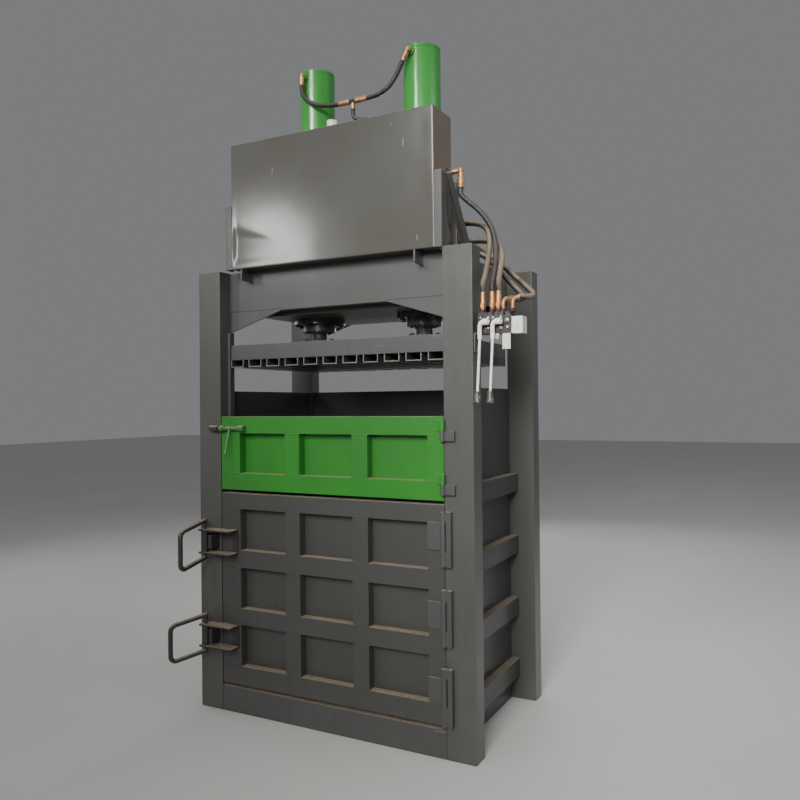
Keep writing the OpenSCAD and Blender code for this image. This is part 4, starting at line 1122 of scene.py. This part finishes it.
@dataclass(frozen=True)
class SoftBox:
    """One soft box: place, aim, width and height, watts, colour, grid angle and outline."""

    name: str
    spot: Point
    aim: Point
    size: Pair
    power: float
    tint: Colour
    grid: float = 180
    shape: str = "RECTANGLE"

    def hang(self) -> None:
        """Makes the lamp and turns it to its aim."""
        data = bpy.data.lights.new(self.name, "AREA")
        data.shape = self.shape
        data.spread = math.radians(self.grid)
        data.size, data.size_y = self.size
        data.energy = self.power
        data.color = self.tint
        lamp = bpy.data.objects.new(self.name, data)
        lamp.location = self.spot
        lamp.rotation_euler = (Vector(self.aim) - Vector(self.spot)).to_track_quat("-Z", "Y").to_euler()
        lamp.visible_camera = False
        bpy.context.scene.collection.objects.link(lamp)


@dataclass
class Studio:
    """Camera, floor and soft light."""

    eye: Point = (2.185, -3.7875, 1.669)
    yaw: float = 27.82
    pitch: float = 0.307
    roll: float = -0.546
    lens: float = 34.73
    sensor: float = 36
    sight: float = 100
    floor_size: float = 30
    floor_drop: float = 0.001
    surround: Colour = (0.80, 0.82, 0.84)
    surround_power: float = 0.25
    boxes: tuple[SoftBox, ...] = (
        SoftBox("key_box", (2.1, -6.2, 3.9), (1.7, -0.4, 1.85), (2.4, 2.2), 70, (1.0, 0.985, 0.95), 54),
        SoftBox("upper_box", (-1.2, -6.5, 5.4), (-0.7, -0.45, 2.9), (1.4, 1.4), 18, (1.0, 0.99, 0.97), 38),
        SoftBox("right_box", (5.6, 0.6, 4.2), (0.8, 0.2, 2.5), (3.6, 2.2), 13, (0.94, 0.97, 1.0), 80),
        SoftBox("left_box", (-6.0, 0.5, 3.2), (-0.8, 0, 1.7), (3.0, 2.5), 46, (0.97, 0.98, 1.0)),
        SoftBox("rear_box", (-1.5, 6.2, 3.4), (0, 0.5, 1.9), (3.4, 2.5), 84, (0.98, 0.99, 1.0)),
        SoftBox("top_box", (0.5, -1.0, 7.5), (0, 0, 1.5), (5.0, 5.0), 130, (1.0, 1.0, 1.0)),
        SoftBox("tank_box", (-3.27, -4.45, 3.58), (-0.29, -0.49, 2.64), (0.72, 0.68), 2.2,
                (1.0, 0.99, 0.98), 60, "ELLIPSE"))

    def camera(self) -> None:
        """Sets the camera at the photograph's place and angle."""
        yaw, pitch, roll = map(math.radians, (self.yaw, self.pitch, self.roll))
        ahead = Vector((-math.sin(yaw) * math.cos(pitch), math.cos(yaw) * math.cos(pitch), math.sin(pitch)))
        right = Vector((math.cos(yaw), math.sin(yaw), 0))
        up = right.cross(ahead)
        tilted = right * math.cos(roll) + up * math.sin(roll)
        upright = up * math.cos(roll) - right * math.sin(roll)
        data = bpy.data.cameras.new("photo_camera")
        data.sensor_width = self.sensor
        data.lens = self.lens
        data.clip_end = self.sight
        camera = bpy.data.objects.new("photo_camera", data)
        turn = Matrix((tilted, upright, -ahead)).transposed().to_4x4()
        camera.matrix_world = Matrix.Translation(self.eye) @ turn
        bpy.context.scene.collection.objects.link(camera)
        bpy.context.scene.camera = camera

    def floor(self) -> None:
        """Lays the pale floor just under the machine."""
        mesh = bmesh.new()
        bmesh.ops.create_grid(mesh, x_segments=1, y_segments=1, size=self.floor_size)
        data = bpy.data.meshes.new("studio_floor")
        mesh.to_mesh(data)
        mesh.free()
        ground = bpy.data.objects.new("studio_floor", data)
        ground.location = (0, 0, -self.floor_drop)
        ground.data.materials.append(Look.FLOOR.made())
        bpy.context.scene.collection.objects.link(ground)

    def light(self) -> None:
        """Sets the soft boxes and the grey surround."""
        for box in self.boxes:
            box.hang()
        world = bpy.data.worlds.new("surround")
        world.use_nodes = True
        inputs = world.node_tree.nodes["Background"].inputs
        inputs["Color"].default_value = (*self.surround, 1.0)
        inputs["Strength"].default_value = self.surround_power
        bpy.context.scene.world = world

    def build(self) -> None:
        """Sets up the studio."""
        self.camera()
        self.floor()
        self.light()
        LOG.info("studio set")


def main() -> None:
    """Builds every sub-assembly's looks."""
    logging.basicConfig(level=logging.INFO, format="%(name)s: %(message)s")
    Studio().build()
    Hoses().build()
    CadFinish().dress()
    SheetTank().build()
    HingeBars().build()
    LeverGrips().build()
    SpoolCaps().build()
    CrimpSleeves().build()
    WeldRuns().build()


if __name__ == "__main__":
    main()
